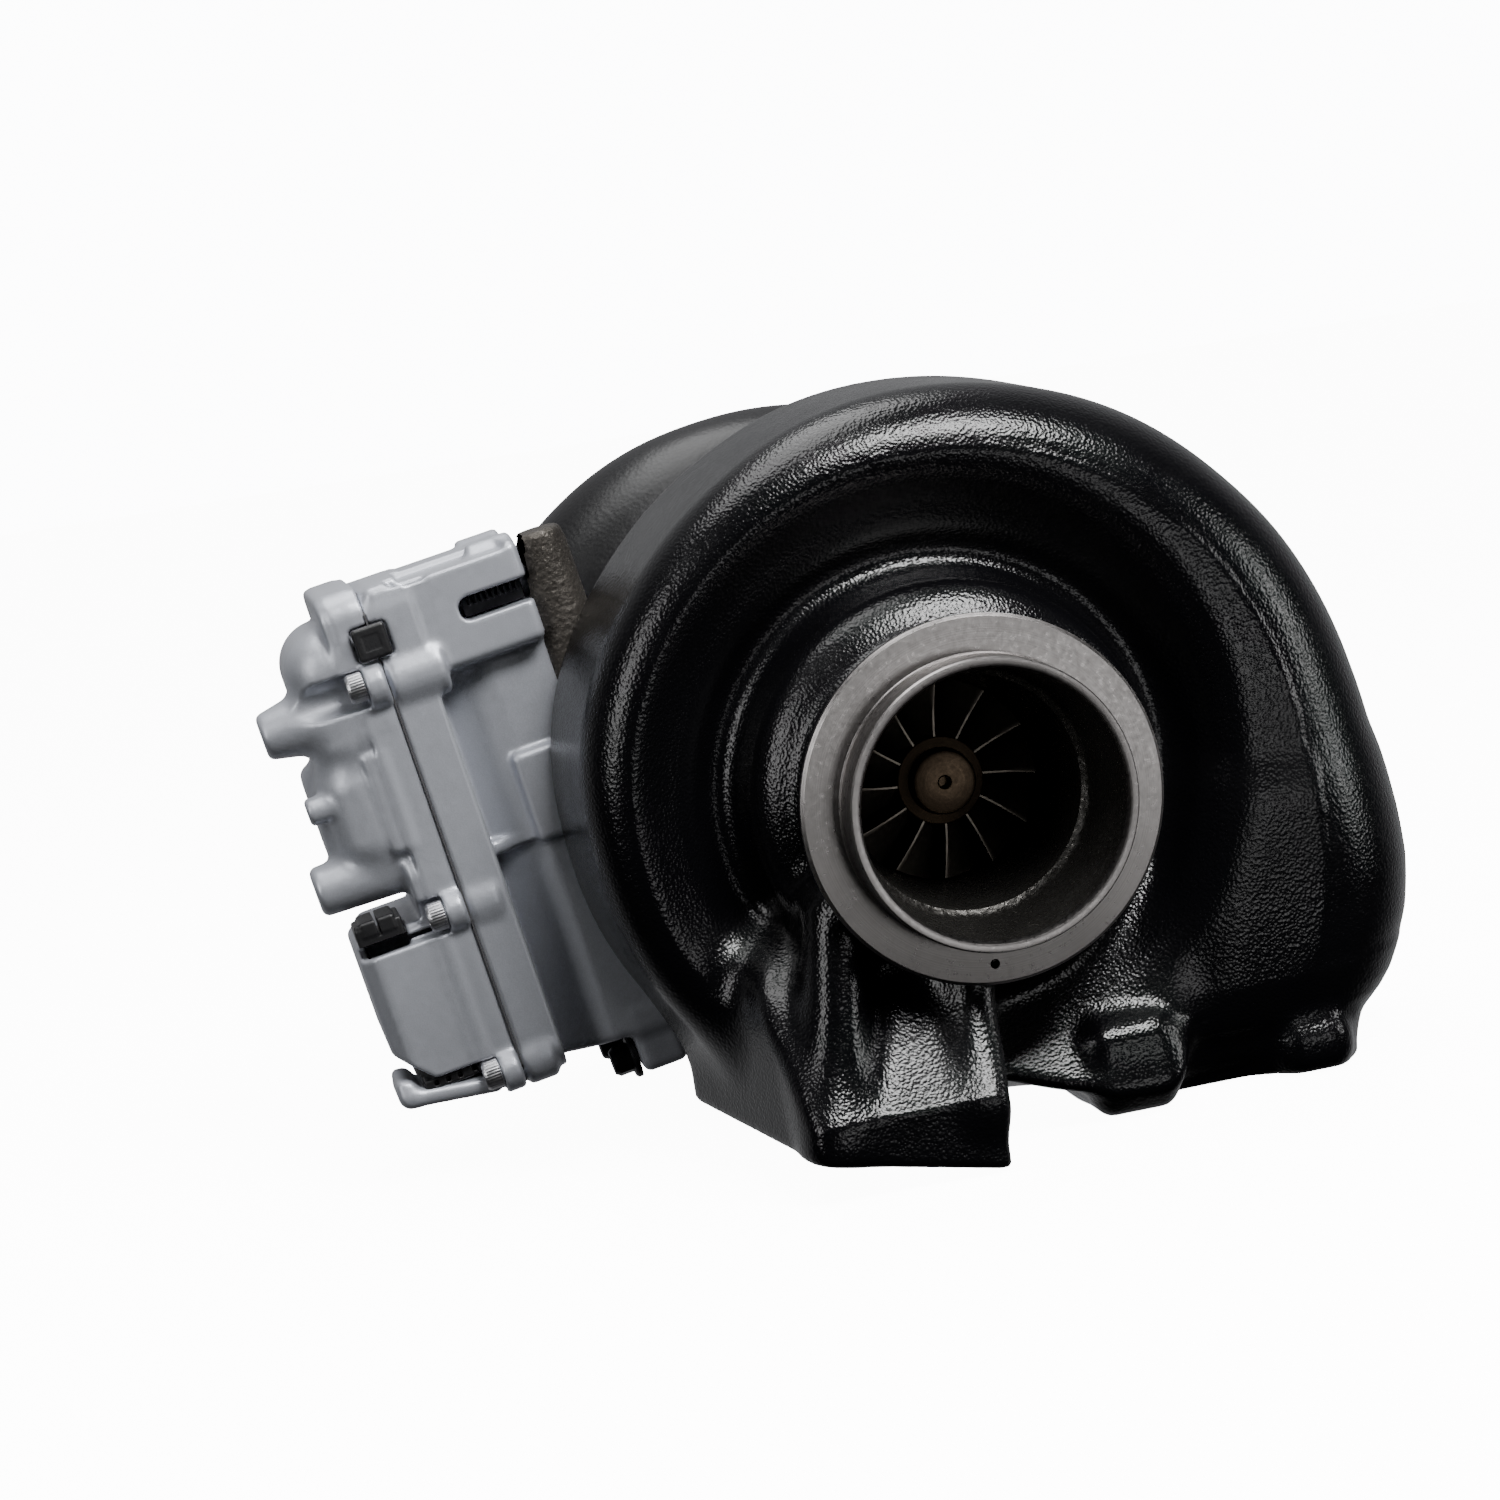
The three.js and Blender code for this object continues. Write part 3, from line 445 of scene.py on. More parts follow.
M_BLACK = black_paint("gloss_black_cast")
M_BLACK2 = black_paint("satin_black_cast", rough=0.36, bump=0.00007, scale=700, big=0.0002)
M_IRON = cast_iron("raw_cast_iron", tone=(0.060, 0.054, 0.047), scale=620, rough=0.50, metal=0.7)
M_BORE = cast_iron("rough_bore", tone=(0.040, 0.038, 0.035), scale=420, rough=0.36, metal=0.75)
M_SILVER = silver_paint("silver_cast")
M_FACE = metal("turned_face", (0.35, 0.333, 0.326), 0.31, lines=1500, bump=0.000008)
M_NOSE = metal("heat_tinted", (0.135, 0.098, 0.066), 0.40, lines=1500, bump=0.00008)
M_BLADE = metal("blade_alloy", (0.30, 0.27, 0.23), 0.46, bump=0.00006)
M_STEEL = metal("ground_steel", (0.50, 0.49, 0.47), 0.28)
M_ZINC = metal("zinc_plate", (0.62, 0.62, 0.64), 0.32, bump=0.00005)
M_ALU = metal("machined_aluminium", (0.72, 0.73, 0.74), 0.26, lines=1800)
M_BRONZE = metal("bearing_bronze", (0.55, 0.36, 0.17), 0.34)
M_DARKST = metal("black_oxide", (0.035, 0.035, 0.038), 0.42, bump=0.00005)
M_PLASTIC = plastic("black_plastic", (0.010, 0.010, 0.011), 0.40)
M_COPPER = metal("wound_copper", (0.45, 0.20, 0.09), 0.42, lines=None, bump=0.0002, scale=1200)
M_GASKET = plastic("gasket_rubber", (0.055, 0.055, 0.058), 0.7)
M_BOARD = plastic("circuit_green", (0.02, 0.11, 0.045), 0.45)


# ------------------------------------------------------------------ turbine housing
T_R = periodic([(-142, 113), (-125, 106), (-105, 98), (-80, 98), (-60, 128), (-45, 157), (-38, 163.5), (-32, 167), (-25, 166.5), (-19, 162), (-9, 152), (2, 146.5), (15, 142), (29, 138), (36, 135.4), (54, 132), (69, 128.5), (84, 126), (99, 124), (117, 120.5), (136, 118.5), (159, 118), (169, 117), (183, 114.3), (202, 113.6)], 4.0)
T_F = periodic([(-40, 29), (0, 29), (60, 32), (140, 36), (222, 41), (270, 40)], 8)
T_RO = periodic([(-50, 50), (-20, 52), (12, 52), (40, 42), (90, 34), (200, 30), (260, 34)], 8)
T_RI = periodic([(-50, 76), (-10, 79), (20, 82), (60, 87), (120, 88), (222, 86), (270, 80)], 8)


def f_turbine(P):
    x, y, z = P[:, 0], P[:, 1], P[:, 2]
    r = np.hypot(x, z)
    th = np.degrees(np.arctan2(z, x))
    R, F, ro, ri = T_R(th), T_F(th), T_RO(th), T_RI(th)
    # scroll: rounded block in the r-y plane with a slight draft on the rim
    Rm = R + 0.055 * (np.clip(y, 30, 107) - 105)
    cx, hx, cy, hy = (ri + Rm) / 2, (Rm - ri) / 2, (F + 107) / 2, (107 - F) / 2
    px, py = r - cx, y - cy
    rad = np.where(px > 0, np.where(py < 0, ro, 6), np.where(py < 0, 18, 5))
    rad = np.minimum(rad, np.minimum(hx * 0.98 if np.isscalar(hx) else hx * 1.25, hy))
    qx, qy = np.abs(px) - hx + rad, np.abs(py) - hy + rad
    vol = np.minimum(np.maximum(qx, qy), 0) + np.hypot(np.maximum(qx, 0), np.maximum(qy, 0)) - rad
    step = np.hypot(r - 86, y - 54) - 8.0
    web = box2(r, y - 81, 88, 27, 4)
    collar = box2(r, y - 46, 64.5, 20, 11)
    neck = box2(r, y - 22, 49.5, 20, 2)
    back = box2(r, y - 105, 66, 6.2, 1.0)
    # inlet duct from the mouth of the scroll down to the foot
    xl = np.interp(z, [-106, -90, -70, -50, -20], [46, 58, 66, 73, 82])
    xr = np.interp(z, [-106, -100, -86, -77, -68, -51, -35, -20], [120, 126, 140.5, 146.5, 150, 152.5, 151, 148])
    y0 = np.interp(z, [-107, -98, -91, -78, -50], [46, 41, 34, 30, 31])
    y1 = np.interp(z, [-106, -92, -76, -50], [128, 118, 108, 106])
    ux, uy = x - (xl + xr) / 2, y - (y0 + y1) / 2
    rr = np.where(ux > 0, np.where(uy < 0, np.interp(z, [-104, -92, -75], [14, 30, 50]), 18), np.where(uy < 0, 17, 14))
    ex, ey = np.abs(ux) - (xr - xl) / 2 + rr, np.abs(uy) - (y1 - y0) / 2 + rr
    duct0 = np.minimum(np.maximum(ex, ey), 0) + np.hypot(np.maximum(ex, 0), np.maximum(ey, 0)) - rr
    duct = smax(duct0 * 0.93, np.abs(z + 62) - 46, 14)
    d = smin(vol, step, 11)
    d = smin(d, web, 12)
    d = smin(d, collar, 14)
    d = smin(d, neck, 12)
    d = smin(d, duct, 13)
    d = smin(d, back, 5)
    # lower body between pad and foot
    low = box3(x, y, z, (-16, 52, -101), (52, 104, -50), 12)
    d = smin(d, low, 13)
    ramp = smax((23 + (z + 90) * 0.60 - y) * 0.85, box3(x, y, z, (-6, 0, -103), (60, 95, -34), 12), 7)
    ramp = smax(ramp, (-90 - 0.36 * (x + 6) - z) * 0.94, 6)
    d = smin(d, ramp, 12)
    # support pad under the outlet neck: a shelf whose top sweeps up in a hollow curve
    under = -110 + 0.215 * np.maximum(0, -10 - x)
    t = np.clip((z + 86.5) / 40, 0, 1)
    yf = -10 + 30 * (0.60 * t + 0.40 * np.sin(np.pi / 2 * t))
    front = (yf - y) * 0.82
    side = -((x + 67) * 0.974 + (y + 10) * 0.226)
    right = (x + 9.0 - 5.0 * np.clip((z + 88) / 40, 0, 1)) * 0.98
    pad = smax(front, side, 5)
    pad = smax(pad, right, 5)
    pad = smax(pad, y - 90, 12)
    pad = smax(pad, z + 38, 24)
    rib = rod(x, y, z, (-60.5, -2.0, -94), (-47, 18, -30), 7.0, 9.5)
    pad = smin(pad, rib, 12)
    edge_r = rod(x, y, z, (-14.0, -3, -90), (-8, 18, -46), 3.6, 4.6)
    pad = smin(pad, edge_r, 12)
    pad = smax(pad, (under - z) * 0.98, 2.2)
    d = smin(d, pad, 13)
    # foot: plate with corner lugs and a relieved front edge
    plate = box3(x, y, z, (34, 39, -110), (123, 133, -100), 2.2)
    corner = box2(x - 78.5, y - 86.0, 44.5, 47, 14)
    plate = smax(plate, corner, 1.5)
    lug1 = box3(x, y, z, (27.5, 20.5, -110), (55, 60, -80.5), 6.5)
    lug2 = box3(x, y, z, (93, 27.5, -110), (115, 66, -93), 7)
    lug3 = disc(x - 41, y - 121, z, -110, -92, 12.5, 2.5)
    lug4 = disc(x - 105, y - 121, z, -110, -92, 12.5, 2.5)
    foot = smin(smin(smin(smin(plate, lug1, 9), lug2, 16), lug3, 4), lug4, 4)
    edge = np.hypot(y - 42.0, z + 99.5) - 5.6
    edge = smax(edge, np.abs(x - 79) - 27, 5)
    foot = smin(foot, edge, 3)
    d = smin(d, foot, 7)
    d = smax(d, -110.0 - z, 0.6)
    # bore and gas passage
    bore = np.interp(y, [-30, 12, 31, 35, 46, 57, 60.9, 61.2, 140], [43, 42.3, 40, 38, 36, 36.5, 37.5, 63.6, 63.6])
    d = np.maximum(d, (bore - r) * 0.9)
    gas = np.where((th > -34) | (th < -138), vol + 8.5, 20)
    gd = smax(duct0 + 9.5, z + 18, 8)
    mouth = box2(x - 76, y - 79, np.interp(z, [-112, -86], [25.5, 29]), 33.5, 14)
    gd = smax(gd, mouth - np.clip((z + 96) * 1.3, 0, 90), 6)
    gas = smin(gas, gd, 8)
    slot_ring = box2(r - 74, y - 82.5, 14, 9.5, 2)
    gas = np.minimum(gas, slot_ring)
    d = smax(d, -gas, 2)
    for hxx, hyy in ((41, 37), (105, 37), (41, 121), (105, 121)):
        hole = np.maximum(np.hypot(x - hxx, y - hyy) - 4.6, z + 100.5)
        d = np.maximum(d, -hole)
    return d.astype(np.float32)


H1 = 1.5
turbine = sdf_piece("turbine_casting", f_turbine, (-132, -20, -118), (170, 118, 136), H1, M_BLACK, "turbine_housing")

# machined outlet flange, rough bore and rear joint flange
flange = lathe("outlet_flange", [(49.4, 11), (51, 9.6), (55.4, 3.4), (55.95, 2.9), (56, 0.9), (55.4, 0.35), (55, 0.0), (44.6, 0.0), (44.25, -0.35), (44.0, -0.9), (44.0, -12.4), (43.5, -13), (41.9, -13), (41.3, -12.8), (40.5, -11.2), (40.5, -6), (40.5, 11)], M_FACE, 240)
bore = lathe("outlet_bore", [(40.5, -11.1), (40.3, -4), (39.8, 6), (39.4, 14), (38.9, 18.5), (37.9, 20.3), (36.4, 21.4), (35.9, 23), (35.9, 27), (35.2, 32), (33.8, 39), (32.6, 46), (32.2, 52), (32.2, 57), (33.0, 61), (35.0, 66), (37.4, 69.7), (43.9, 69.7), (43.9, 62), (42.9, 60), (42.9, -8)], M_BORE, 200)

def drill(obj, centre, radius, depth):
    """sink a blind hole along the rotor axis into a finished piece"""
    cut = bpy.data.meshes.new("cut")
    bm = bmesh.new()
    made = bmesh.ops.create_cone(bm, cap_ends=True, segments=40, radius1=radius / 1000, radius2=radius / 1000, depth=2 * depth / 1000)
    for v in made["verts"]:
        a, b, c = v.co
        v.co = ((centre[0] + OFF[0]) / 1000 + a, (centre[1] + OFF[1]) / 1000 - c, (centre[2] + OFF[2]) / 1000 + b)
    bm.to_mesh(cut)
    bm.free()
    tool = bpy.data.objects.new("cut", cut)
    bpy.context.scene.collection.objects.link(tool)
    mod = obj.modifiers.new("drill", "BOOLEAN")
    mod.operation, mod.object, mod.solver = "DIFFERENCE", tool, "EXACT"
    graph = bpy.context.evaluated_depsgraph_get()
    made = bpy.data.meshes.new_from_object(obj.evaluated_get(graph))
    obj.modifiers.remove(mod)
    if len(made.polygons) > 100:
        obj.data = made
    bpy.data.objects.remove(tool)


drill(flange, (-4.0, 0, -49.4), 1.5, 5.5)
rear = lathe("turbine_rear_flange", [(64.2, 110.5), (66.2, 110.9), (69.4, 111.9), (70, 112.6), (70, 115.4), (69.4, 116), (64.2, 116)], M_FACE, 160)


# ------------------------------------------------------------------ compressor housing
C_R = periodic([(-112, 108), (-90, 106), (-60, 107), (-30, 109), (0, 111), (40, 113.5), (70, 116), (89, 118.5), (97, 120), (106, 121.5), (114, 124), (124, 126.5), (132, 128), (140, 130), (160, 132), (180, 133), (186, 133), (230, 108)], 4)
C_T = periodic([(-112, 16), (-70, 20), (-10, 25), (90, 31), (150, 34), (180, 35), (186, 34), (225, 16)], 4)


def f_compressor(P):
    x, y, z = P[:, 0], P[:, 1], P[:, 2]
    r = np.hypot(x, z)
    th = np.degrees(np.arctan2(z, x))
    R, t = C_R(th), C_T(th)
    d = np.hypot(r - (R - t), y - (180 + t)) - t
    tube = cone(x + 98, y - 215, -z, -6, 40, 35, 31, 3)
    tube = smin(tube, disc(x + 98, y - 215, z, -72, -34, 31, 1.0), 3)
    bead = disc(x + 98, y - 215, z, -68, -62, 33, 2.4)
    d = smin(d, tube, 7)
    d = smin(d, bead, 2)
    shell = box2(r, y - 188.5, 92, 8, 3)
    cup = cone(x, z, y, 186, 224, 92, 60, 6)
    inlet = box2(r, y - 240, 50, 35, 1.2)
    d = smin(d, shell, 8)
    d = smin(d, cup, 12)
    d = smin(d, inlet, 12)
    d = smin(d, box2(r, y - 267.5, 52.3, 3.2, 2.4), 2)
    joint = box2(r, y - 176, 80, 4.6, 1.0)
    joint = np.minimum(joint, box2(r, y - 178, 76, 5, 0.5))
    d = smin(d, joint, 2)
    for a in (25, 70, 115):                     # bosses on the cover
        ca, sa = math.cos(math.radians(a)), math.sin(math.radians(a))
        d = smin(d, disc(x - 70 * ca, z - 70 * sa, y, 214, 226, 7.5, 1.5), 4)
    inner = np.interp(y, [160, 171.3, 178.9, 184.3, 184.5, 190.5, 190.7, 192.8, 198.8, 206, 215, 220, 238, 262, 300], [74.5, 74.5, 74.5, 74.5, 96, 96, 42.8, 38.6, 33.4, 30.4, 30.2, 31.8, 38, 46, 46])
    d = np.maximum(d, (inner - r) * 0.9)
    gas = np.where((th > -108) | (th < -178), np.hypot(r - (R - t), y - (180 + t)) - (t - 5), 20)
    gas = np.minimum(gas, np.maximum(cone(x + 98, y - 215, -z, -8, 80, 30, 26.5, 1), z - 6))
    d = np.maximum(d, -gas)
    return d.astype(np.float32)


comp = sdf_piece("compressor_casting", f_compressor, (-138, 168, -76), (124, 279, 134), 1.7, M_BLACK2, "compressor_housing")


# ------------------------------------------------------------------ bearing housing
def f_bearing(P):
    x, y, z = P[:, 0], P[:, 1], P[:, 2]
    X, Y, Z = to_act(P)
    r = np.hypot(x, z)
    d = box2(r, y - 141, 61.5, 24, 4)
    d = smin(d, box2(r, y - 118.3, 69.8, 2.0, 0.6), 4)
    d = smin(d, box2(r, y - 168.4, 79.8, 2.6, 0.6), 4)
    d = smin(d, box2(r, y - 112.5, 63.2, 3.6, 0.8), 1)
    d = smin(d, box2(r, y - 100, 32.6, 7.5, 1.5), 4)
    # bracket to the actuator, with the two cast ends that show beside it
    web = box3(X, Y, Z, (-84, 125.5, -50), (-44, 157, 58), 7)
    plate = box3(X, Y, Z, (-95.4, 118, -68), (-84, 159, 92), 4)
    d = smin(d, smin(web, plate, 9), 8)
    nose = disc(X + 90, Y - 114, Z, 62, 111, 9.0, 2.0)
    nose = smin(nose, box3(X, Y, Z, (-95, 112, 58), (-82, 140, 108), 4), 6)
    low = disc(X + 88, Y - 126, Z, -76, -44, 8.5, 2.0)
    d = smin(d, smin(nose, low, 3), 8)
    d = smin(d, disc(x, y - 142, z, -80, -48, 17, 2), 5)
    d = smin(d, disc(x - 4, y - 142, z, 38, 84, 14, 2), 6)
    d = smin(d, disc(Y - 142, Z - 22, X, 38, 78, 11, 2), 5)
    for s in (-1, 1):
        d = smin(d, box3(x, y, z, (s * 60 - 8, 128, 12), (s * 60 + 8, 154, 30), 5), 7)
    # hollows
    d = np.maximum(d, -(disc(x, y - 142, z, -90, -50, 11, 0.5)))
    d = np.maximum(d, -(disc(x - 4, y - 142, z, 12, 90, 4.5, 0.3)))
    d = np.maximum(d, -disc(Y - 142, Z - 22, X, 26, 90, 6.9, 0.3))
    for s in (-50, 50):
        d = np.maximum(d, -disc(X - s, Z, Y, 80, 130, 3.7, 0.1))
    d = np.maximum(d, -disc(Y - 136, Z + 34, X, -120, 58, 6.4, 0.1))
    cav = np.maximum(np.maximum(21 - r, r - 56.4), np.abs(y - 139.75) - 15.25)
    cav = np.maximum(cav, -box3(X, Y, Z, (-60, 120, 15), (60, 160, 70), 0.5))
    d = np.maximum(d, -cav)
    b = np.interp(y, [80, 101, 102, 152, 156, 180], [12.5, 12.5, 11.4, 11.4, 26.8, 26.8])
    d = np.maximum(d, (b - r))
    return d.astype(np.float32)


bh = sdf_piece("bearing_casting", f_bearing, (-112, 92, -84), (80, 172, 116), 1.35, M_IRON, "bearing_housing")


# ------------------------------------------------------------------ actuator castings
def outline(Y, Z, grow, y0=101, y1=171, z0=-57, z1=111, r=9):
    """rounded outline of the joint faces in the Y-Z plane"""
    return box2(Y - (y0 + y1) / 2, Z - (z0 + z1) / 2, (y1 - y0) / 2 + grow, (z1 - z0) / 2 + grow, r)


def f_gearbox(P):
    X, Y, Z = P[:, 0], P[:, 1], P[:, 2]
    band = smax(outline(Y, Z, 0, 101.5, 171), np.abs(X + 143.05) - 7.1, 0.5)
    # body, its front wall hollowed beside the band
    dip = np.clip((-117 - X) / 19, 0, 1) ** 1.3
    yf = np.where(Z > 16, 110.0, 111.5) + dip * np.where(Z > 16, 7.0, 11.0)
    body = box3(X, Y, Z, (-140, 100, -57), (-96, 161, 104), 5)
    body = smax(body, (yf - Y) * 0.88, 3)
    d = smin(band, body, 2.2)
    # raised shoulder with the slot across the top
    top = box3(X, Y, Z, (-149, 101.8, 78), (-97.2, 150, 111.5), 3.0)
    d = smin(d, smax(top, np.abs(X + 123) - 26.4, 1.5), 3)
    notch = box3(X, Y, Z, (-137, 96, 109.5), (-101, 128, 120), 2.0)
    d = smax(d, -notch, 1.2)
    pocket = np.hypot(X + 134, Z - 113) - 7
    d = smax(d, -smax(pocket, np.abs(Y - 106) - 3, 1), 1.5)
    boss = disc(Y - 107.5, Z - 80.5, X, -149.6, -131, 9.2, 2.0)
    d = smin(d, boss, 2.5)
    for zz in (4, -51):
        d = smin(d, disc(Y - 108, Z - zz, X, -149.6, -139, 8.0, 2.0), 2.5)
    # pad with the stepped edge
    pad = box3(X, Y, Z, (-120.5, 107.0, 15), (-96, 122, 45), 2.0)
    d = smin(d, pad, 2.0)
    ledge = box3(X, Y, Z, (-137, 113.5, 15.0), (-119, 126, 19.5), 1.4)
    d = smin(d, ledge, 2.2)
    lugs = smin(box3(X, Y, Z, (-112, 113, -71), (-96.5, 131, -48), 3), box3(X, Y, Z, (-112, 143, -71), (-96.5, 160, -48), 3), 1)
    d = smin(d, lugs, 4)
    for yy in (120, 152):
        d = smin(d, disc(Y - yy, Z - 108, X, -112, -97, 5, 1.5), 3)
    slot = box3(X, Y, Z, (-121.5, 90, 91.2), (-92, 118, 99.0), 3.6)
    d = smax(d, -slot, 0.8)
    plug = box3(X, Y, Z, (-157, 95, 89.5), (-144.8, 104.5, 101), 1.5)
    d = smax(d, -plug, 0.6)
    # inside
    hol2 = np.maximum(box2(Y - 141.5, Z - 24, 14.5, 70, 4), np.maximum(-145 - X, X + 112))
    hol = np.maximum(outline(Y, Z, -4.2, 101.5, 171), np.maximum(-160 - X, X + 138.8))
    well = disc(Y - 136, Z - 6, X, -147, -138.8, 30, 0.3)
    d = np.maximum(d, -np.minimum(np.minimum(hol, hol2), well))
    d = np.maximum(d, -disc(Y - 136, Z + 34, X, -125, -90, 6.4, 0.2))
    d = np.maximum(d, -disc(Y - 136, Z - 6, X, -113, -109.5, 3.3, 0.1))
    for yy in (124, 152):
        d = np.maximum(d, -disc(Y - yy, Z + 66, X, -120, -90, 3.6, 0.1))
    return d.astype(np.float32)


def f_cover(P):
    X, Y, Z = P[:, 0], P[:, 1], P[:, 2]
    # flange whose outline steps in beside the motor
    fl = outline(Y, Z, 0, 101.5, 171, -57, 113, 9)
    d = smax(fl, np.abs(X + 155.8) - 5.35, 0.5)
    thick = smax(outline(Y, Z, -0.6, 101.5, 171, 60, 114, 9), np.abs(X + 158.5) - 6.0, 2.5)
    thick2 = smax(outline(Y, Z, -0.6, 101.5, 171, -57, 28, 9), np.abs(X + 158.7) - 6.3, 2.5)
    d = smin(d, smin(thick, thick2, 1.5), 1.5)
    # upper dome and motor dome
    dome = box3(X, Y, Z, (-180.5, 102.6, 53), (-150, 160, 104.5), 14.5)
    motor = box3(X, Y, Z, (-183.5, 103.4, 20.5), (-150, 158, 66), 14.5)
    motor = smin(motor, disc(Y - 136, Z - 40, X, -185.8, -150, 20.6, 3.6), 4)
    rib = box3(X, Y, Z, (-166.5, 102.2, 28), (-158, 112, 62), 2.0)
    d = smin(d, smin(smin(dome, motor, 4.5), rib, 1.6), 2.5)
    stub = cone(Y - 118, Z - 76, -X, 170, 193.5, 12.5, 7.4, 2.2)
    d = smin(d, stub, 4)
    stub2 = cone(Y - 116, Z - 23, -X, 160, 194, 9.4, 8.2, 2.8)
    d = smin(d, stub2, 4)
    d = smin(d, disc(Y - 112, Z - 49, X, -188, -178, 4.6, 1.6), 2)
    # connector block with bevelled corners
    blk = box3(X, Y, Z, (-188.5, 101.8, -47), (-158, 166, 4.5), 1.8)
    blk = smax(blk, (-(X + 188.5) - (Z + 47) + 13) * 0.707, 1.2)
    blk = smax(blk, (-(X + 188.5) + (Z - 4.5) + 6) * 0.707, 1.2)
    blk = smax(blk, (-(X + 188.5) - (Y - 101.8) + 5) * 0.707, 1.2)
    hollow = box3(X, Y, Z, (-185, 107, -43.5), (-150, 161, 1), 1.5)
    d = smin(d, blk, 1.6)
    Z2 = Z - np.clip((-X - 160) * 0.17, 0, 6)
    tab = box3(X, Y, Z2, (-190.5, 103, -57), (-158, 128, -51.0), 2.6)
    tab = smin(tab, box3(X, Y, Z2, (-190.8, 103.6, -56), (-184.5, 128, -47.5), 2.4), 3)
    # screw pockets and their ears
    for zz, w in ((82, 8.5), (5, 7.5), (-51, 7.5)):
        for yy in (103.6, 168.4):
            ear = disc(Y - yy, Z - zz, X, -157.8, -150.8, w - 0.6, 1.5)
            d = smin(d, ear, 2)
            inner = disc(Y - yy, Z - zz, X, -200, -157.4, 6.0, 0.6)
            d = smax(d, -inner, 0.8)
    for zz in (82, 5, -51):
        d = smax(d, -box3(X, Y, Z, (-200, 85, zz - 6.0), (-157.4, 103.8, zz + 6.0), 1.0), 0.8)
        d = smax(d, -box3(X, Y, Z, (-200, 168.0, zz - 6.0), (-157.4, 190, zz + 6.0), 1.0), 0.8)
    top_hole = box3(X, Y, Z, (-187.2, 103.2, -1.5), (-170.8, 124.6, 12), 1.2)
    d = smax(d, -top_hole, 0.6)
    notch = box3(X, Y, Z, (-196, 98, -53), (-163, 124, -46.8), 1.2)
    d = smax(d, -notch, 0.6)
    d = smin(d, tab, 1.2)
    plug = box3(X, Y, Z, (-157, 95, 89.5), (-144.8, 104.5, 101), 1.5)
    d = smax(d, -plug, 0.6)
    # inside
    h1 = np.maximum(outline(Y, Z, -4.2, 101.5, 171), np.maximum(-154.6 - X, X + 140))
    h2 = disc(Y - 136, Z - 40, X, -183.5, -150, 16.6, 0.4)
    h3 = box3(X, Y, Z, (-174.8, 114.4, 68), (-150, 150.6, 97), 1.5)
    d = np.maximum(d, -np.minimum(np.minimum(h1, h2), np.minimum(h3, hollow)))
    return d.astype(np.float32)


HA = 1.0
gearbox = sdf_piece("gearbox_casting", f_gearbox, (-152, 94, -76), (-92, 173, 117), HA, M_SILVER, "actuator_gear_housing", act=True)
cover = sdf_piece("cover_casting", f_cover, (-197, 94, -61), (-149.7, 176, 117), HA, M_SILVER, "actuator_cover", act=True)


# ------------------------------------------------------------------ turned pieces and fasteners
def basis(axis):
    w = Vector(axis).normalized()
    u = Vector((0, 1, 0)) if abs(w.y) < 0.9 else Vector((1, 0, 0))
    v = w.cross(u).normalized()
    return np.array(v.cross(w)), np.array(v), np.array(w)


def turned(name, rows, mat, centre, axis, m=96, body="housing", node=None, act=False, teeth=40, deg=28, turn=0.0):
    """rows of (radius, height, kind): c round, h hexagon across flats, k knurled"""
    a = np.arange(m) * 2 * np.pi / m + turn
    hexa = 1 / np.cos((np.degrees(a - turn) % 60 - 30) * np.pi / 180)
    knurl = 1 - 0.030 * (0.5 + 0.5 * np.cos(teeth * a))
    U, V, W = basis(axis)
    bm = bmesh.new()
    rings = []
    for r, w, kind in rows:
        if r == 0:
            p = np.array(centre) + W * w
            rings.append([bm.verts.new(p)])
            continue
        rr = r * {"c": np.ones(m), "h": hexa, "k": knurl}[kind]
        P = np.array(centre) + np.outer(rr * np.cos(a), U) + np.outer(rr * np.sin(a), V) + W * w
        rings.append([bm.verts.new(p) for p in P])
    for A, B in zip(rings, rings[1:]):
        for i in range(m):
            j = (i + 1) % m
            q = [A[i % len(A)], A[j % len(A)], B[j % len(B)], B[i % len(B)]]
            q = [v for k, v in enumerate(q) if v not in q[:k]]
            if len(q) > 2:
                bm.faces.new(q)
    bmesh.ops.recalc_face_normals(bm, faces=bm.faces)
    me = bpy.data.meshes.new(name)
    bm.to_mesh(me); bm.free()
    if act:
        me.transform(Matrix(((CA, 0, -SA, 0), (0, 1, 0, 0), (SA, 0, CA, 0), (0, 0, 0, 1))))
    me.transform(Matrix.Scale(0.001, 4) @ Matrix.Translation(Vector(OFF)))
    return finish_piece(name, me, mat, body, node, deg)


def finish_piece(name, me, mat, body, node, deg=30):
    ob = bpy.data.objects.new(name, me)
    bpy.context.scene.collection.objects.link(ob)
    sharp(ob, deg)
    me.materials.append(mat)
    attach(ob, body)
    if node:
        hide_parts(*([node] if isinstance(node, str) else node))
    return ob


CAP = [(0, 0, "c"), (4.5, 0, "c"), (4.95, 0.4, "k"), (4.95, 4.7, "k"), (4.7, 5.2, "c"), (4.3, 5.8, "c"), (2.95, 5.8, "c"), (2.5, 5.4, "h"), (2.5, 2.2, "h"), (1.6, 1.7, "c"), (0, 1.3, "c")]
k = 0
for zz in (83, 5, -50):
    for yy in (102.2, 169.6):
        k += 1
        turned("cap_screw_%d" % k, CAP, M_ZINC, (-157.4, yy, zz), (-1, 0, 0), node="cover_screw_%d" % k, act=True, m=192, teeth=32, turn=0.3 * k)
BOLT = [(0, 0, "c"), (7.3, 0, "c"), (7.5, 0.25, "c"), (7.5, 1.5, "c"), (6.9, 2.2, "c"), (5.6, 2.5, "c"), (4.75, 2.6, "h"), (4.75, 7.0, "h"), (4.7, 7.6, "c"), (4.0, 8.6, "c"), (2.9, 8.7, "c"), (2.6, 8.1, "c"), (0, 7.9, "c")]
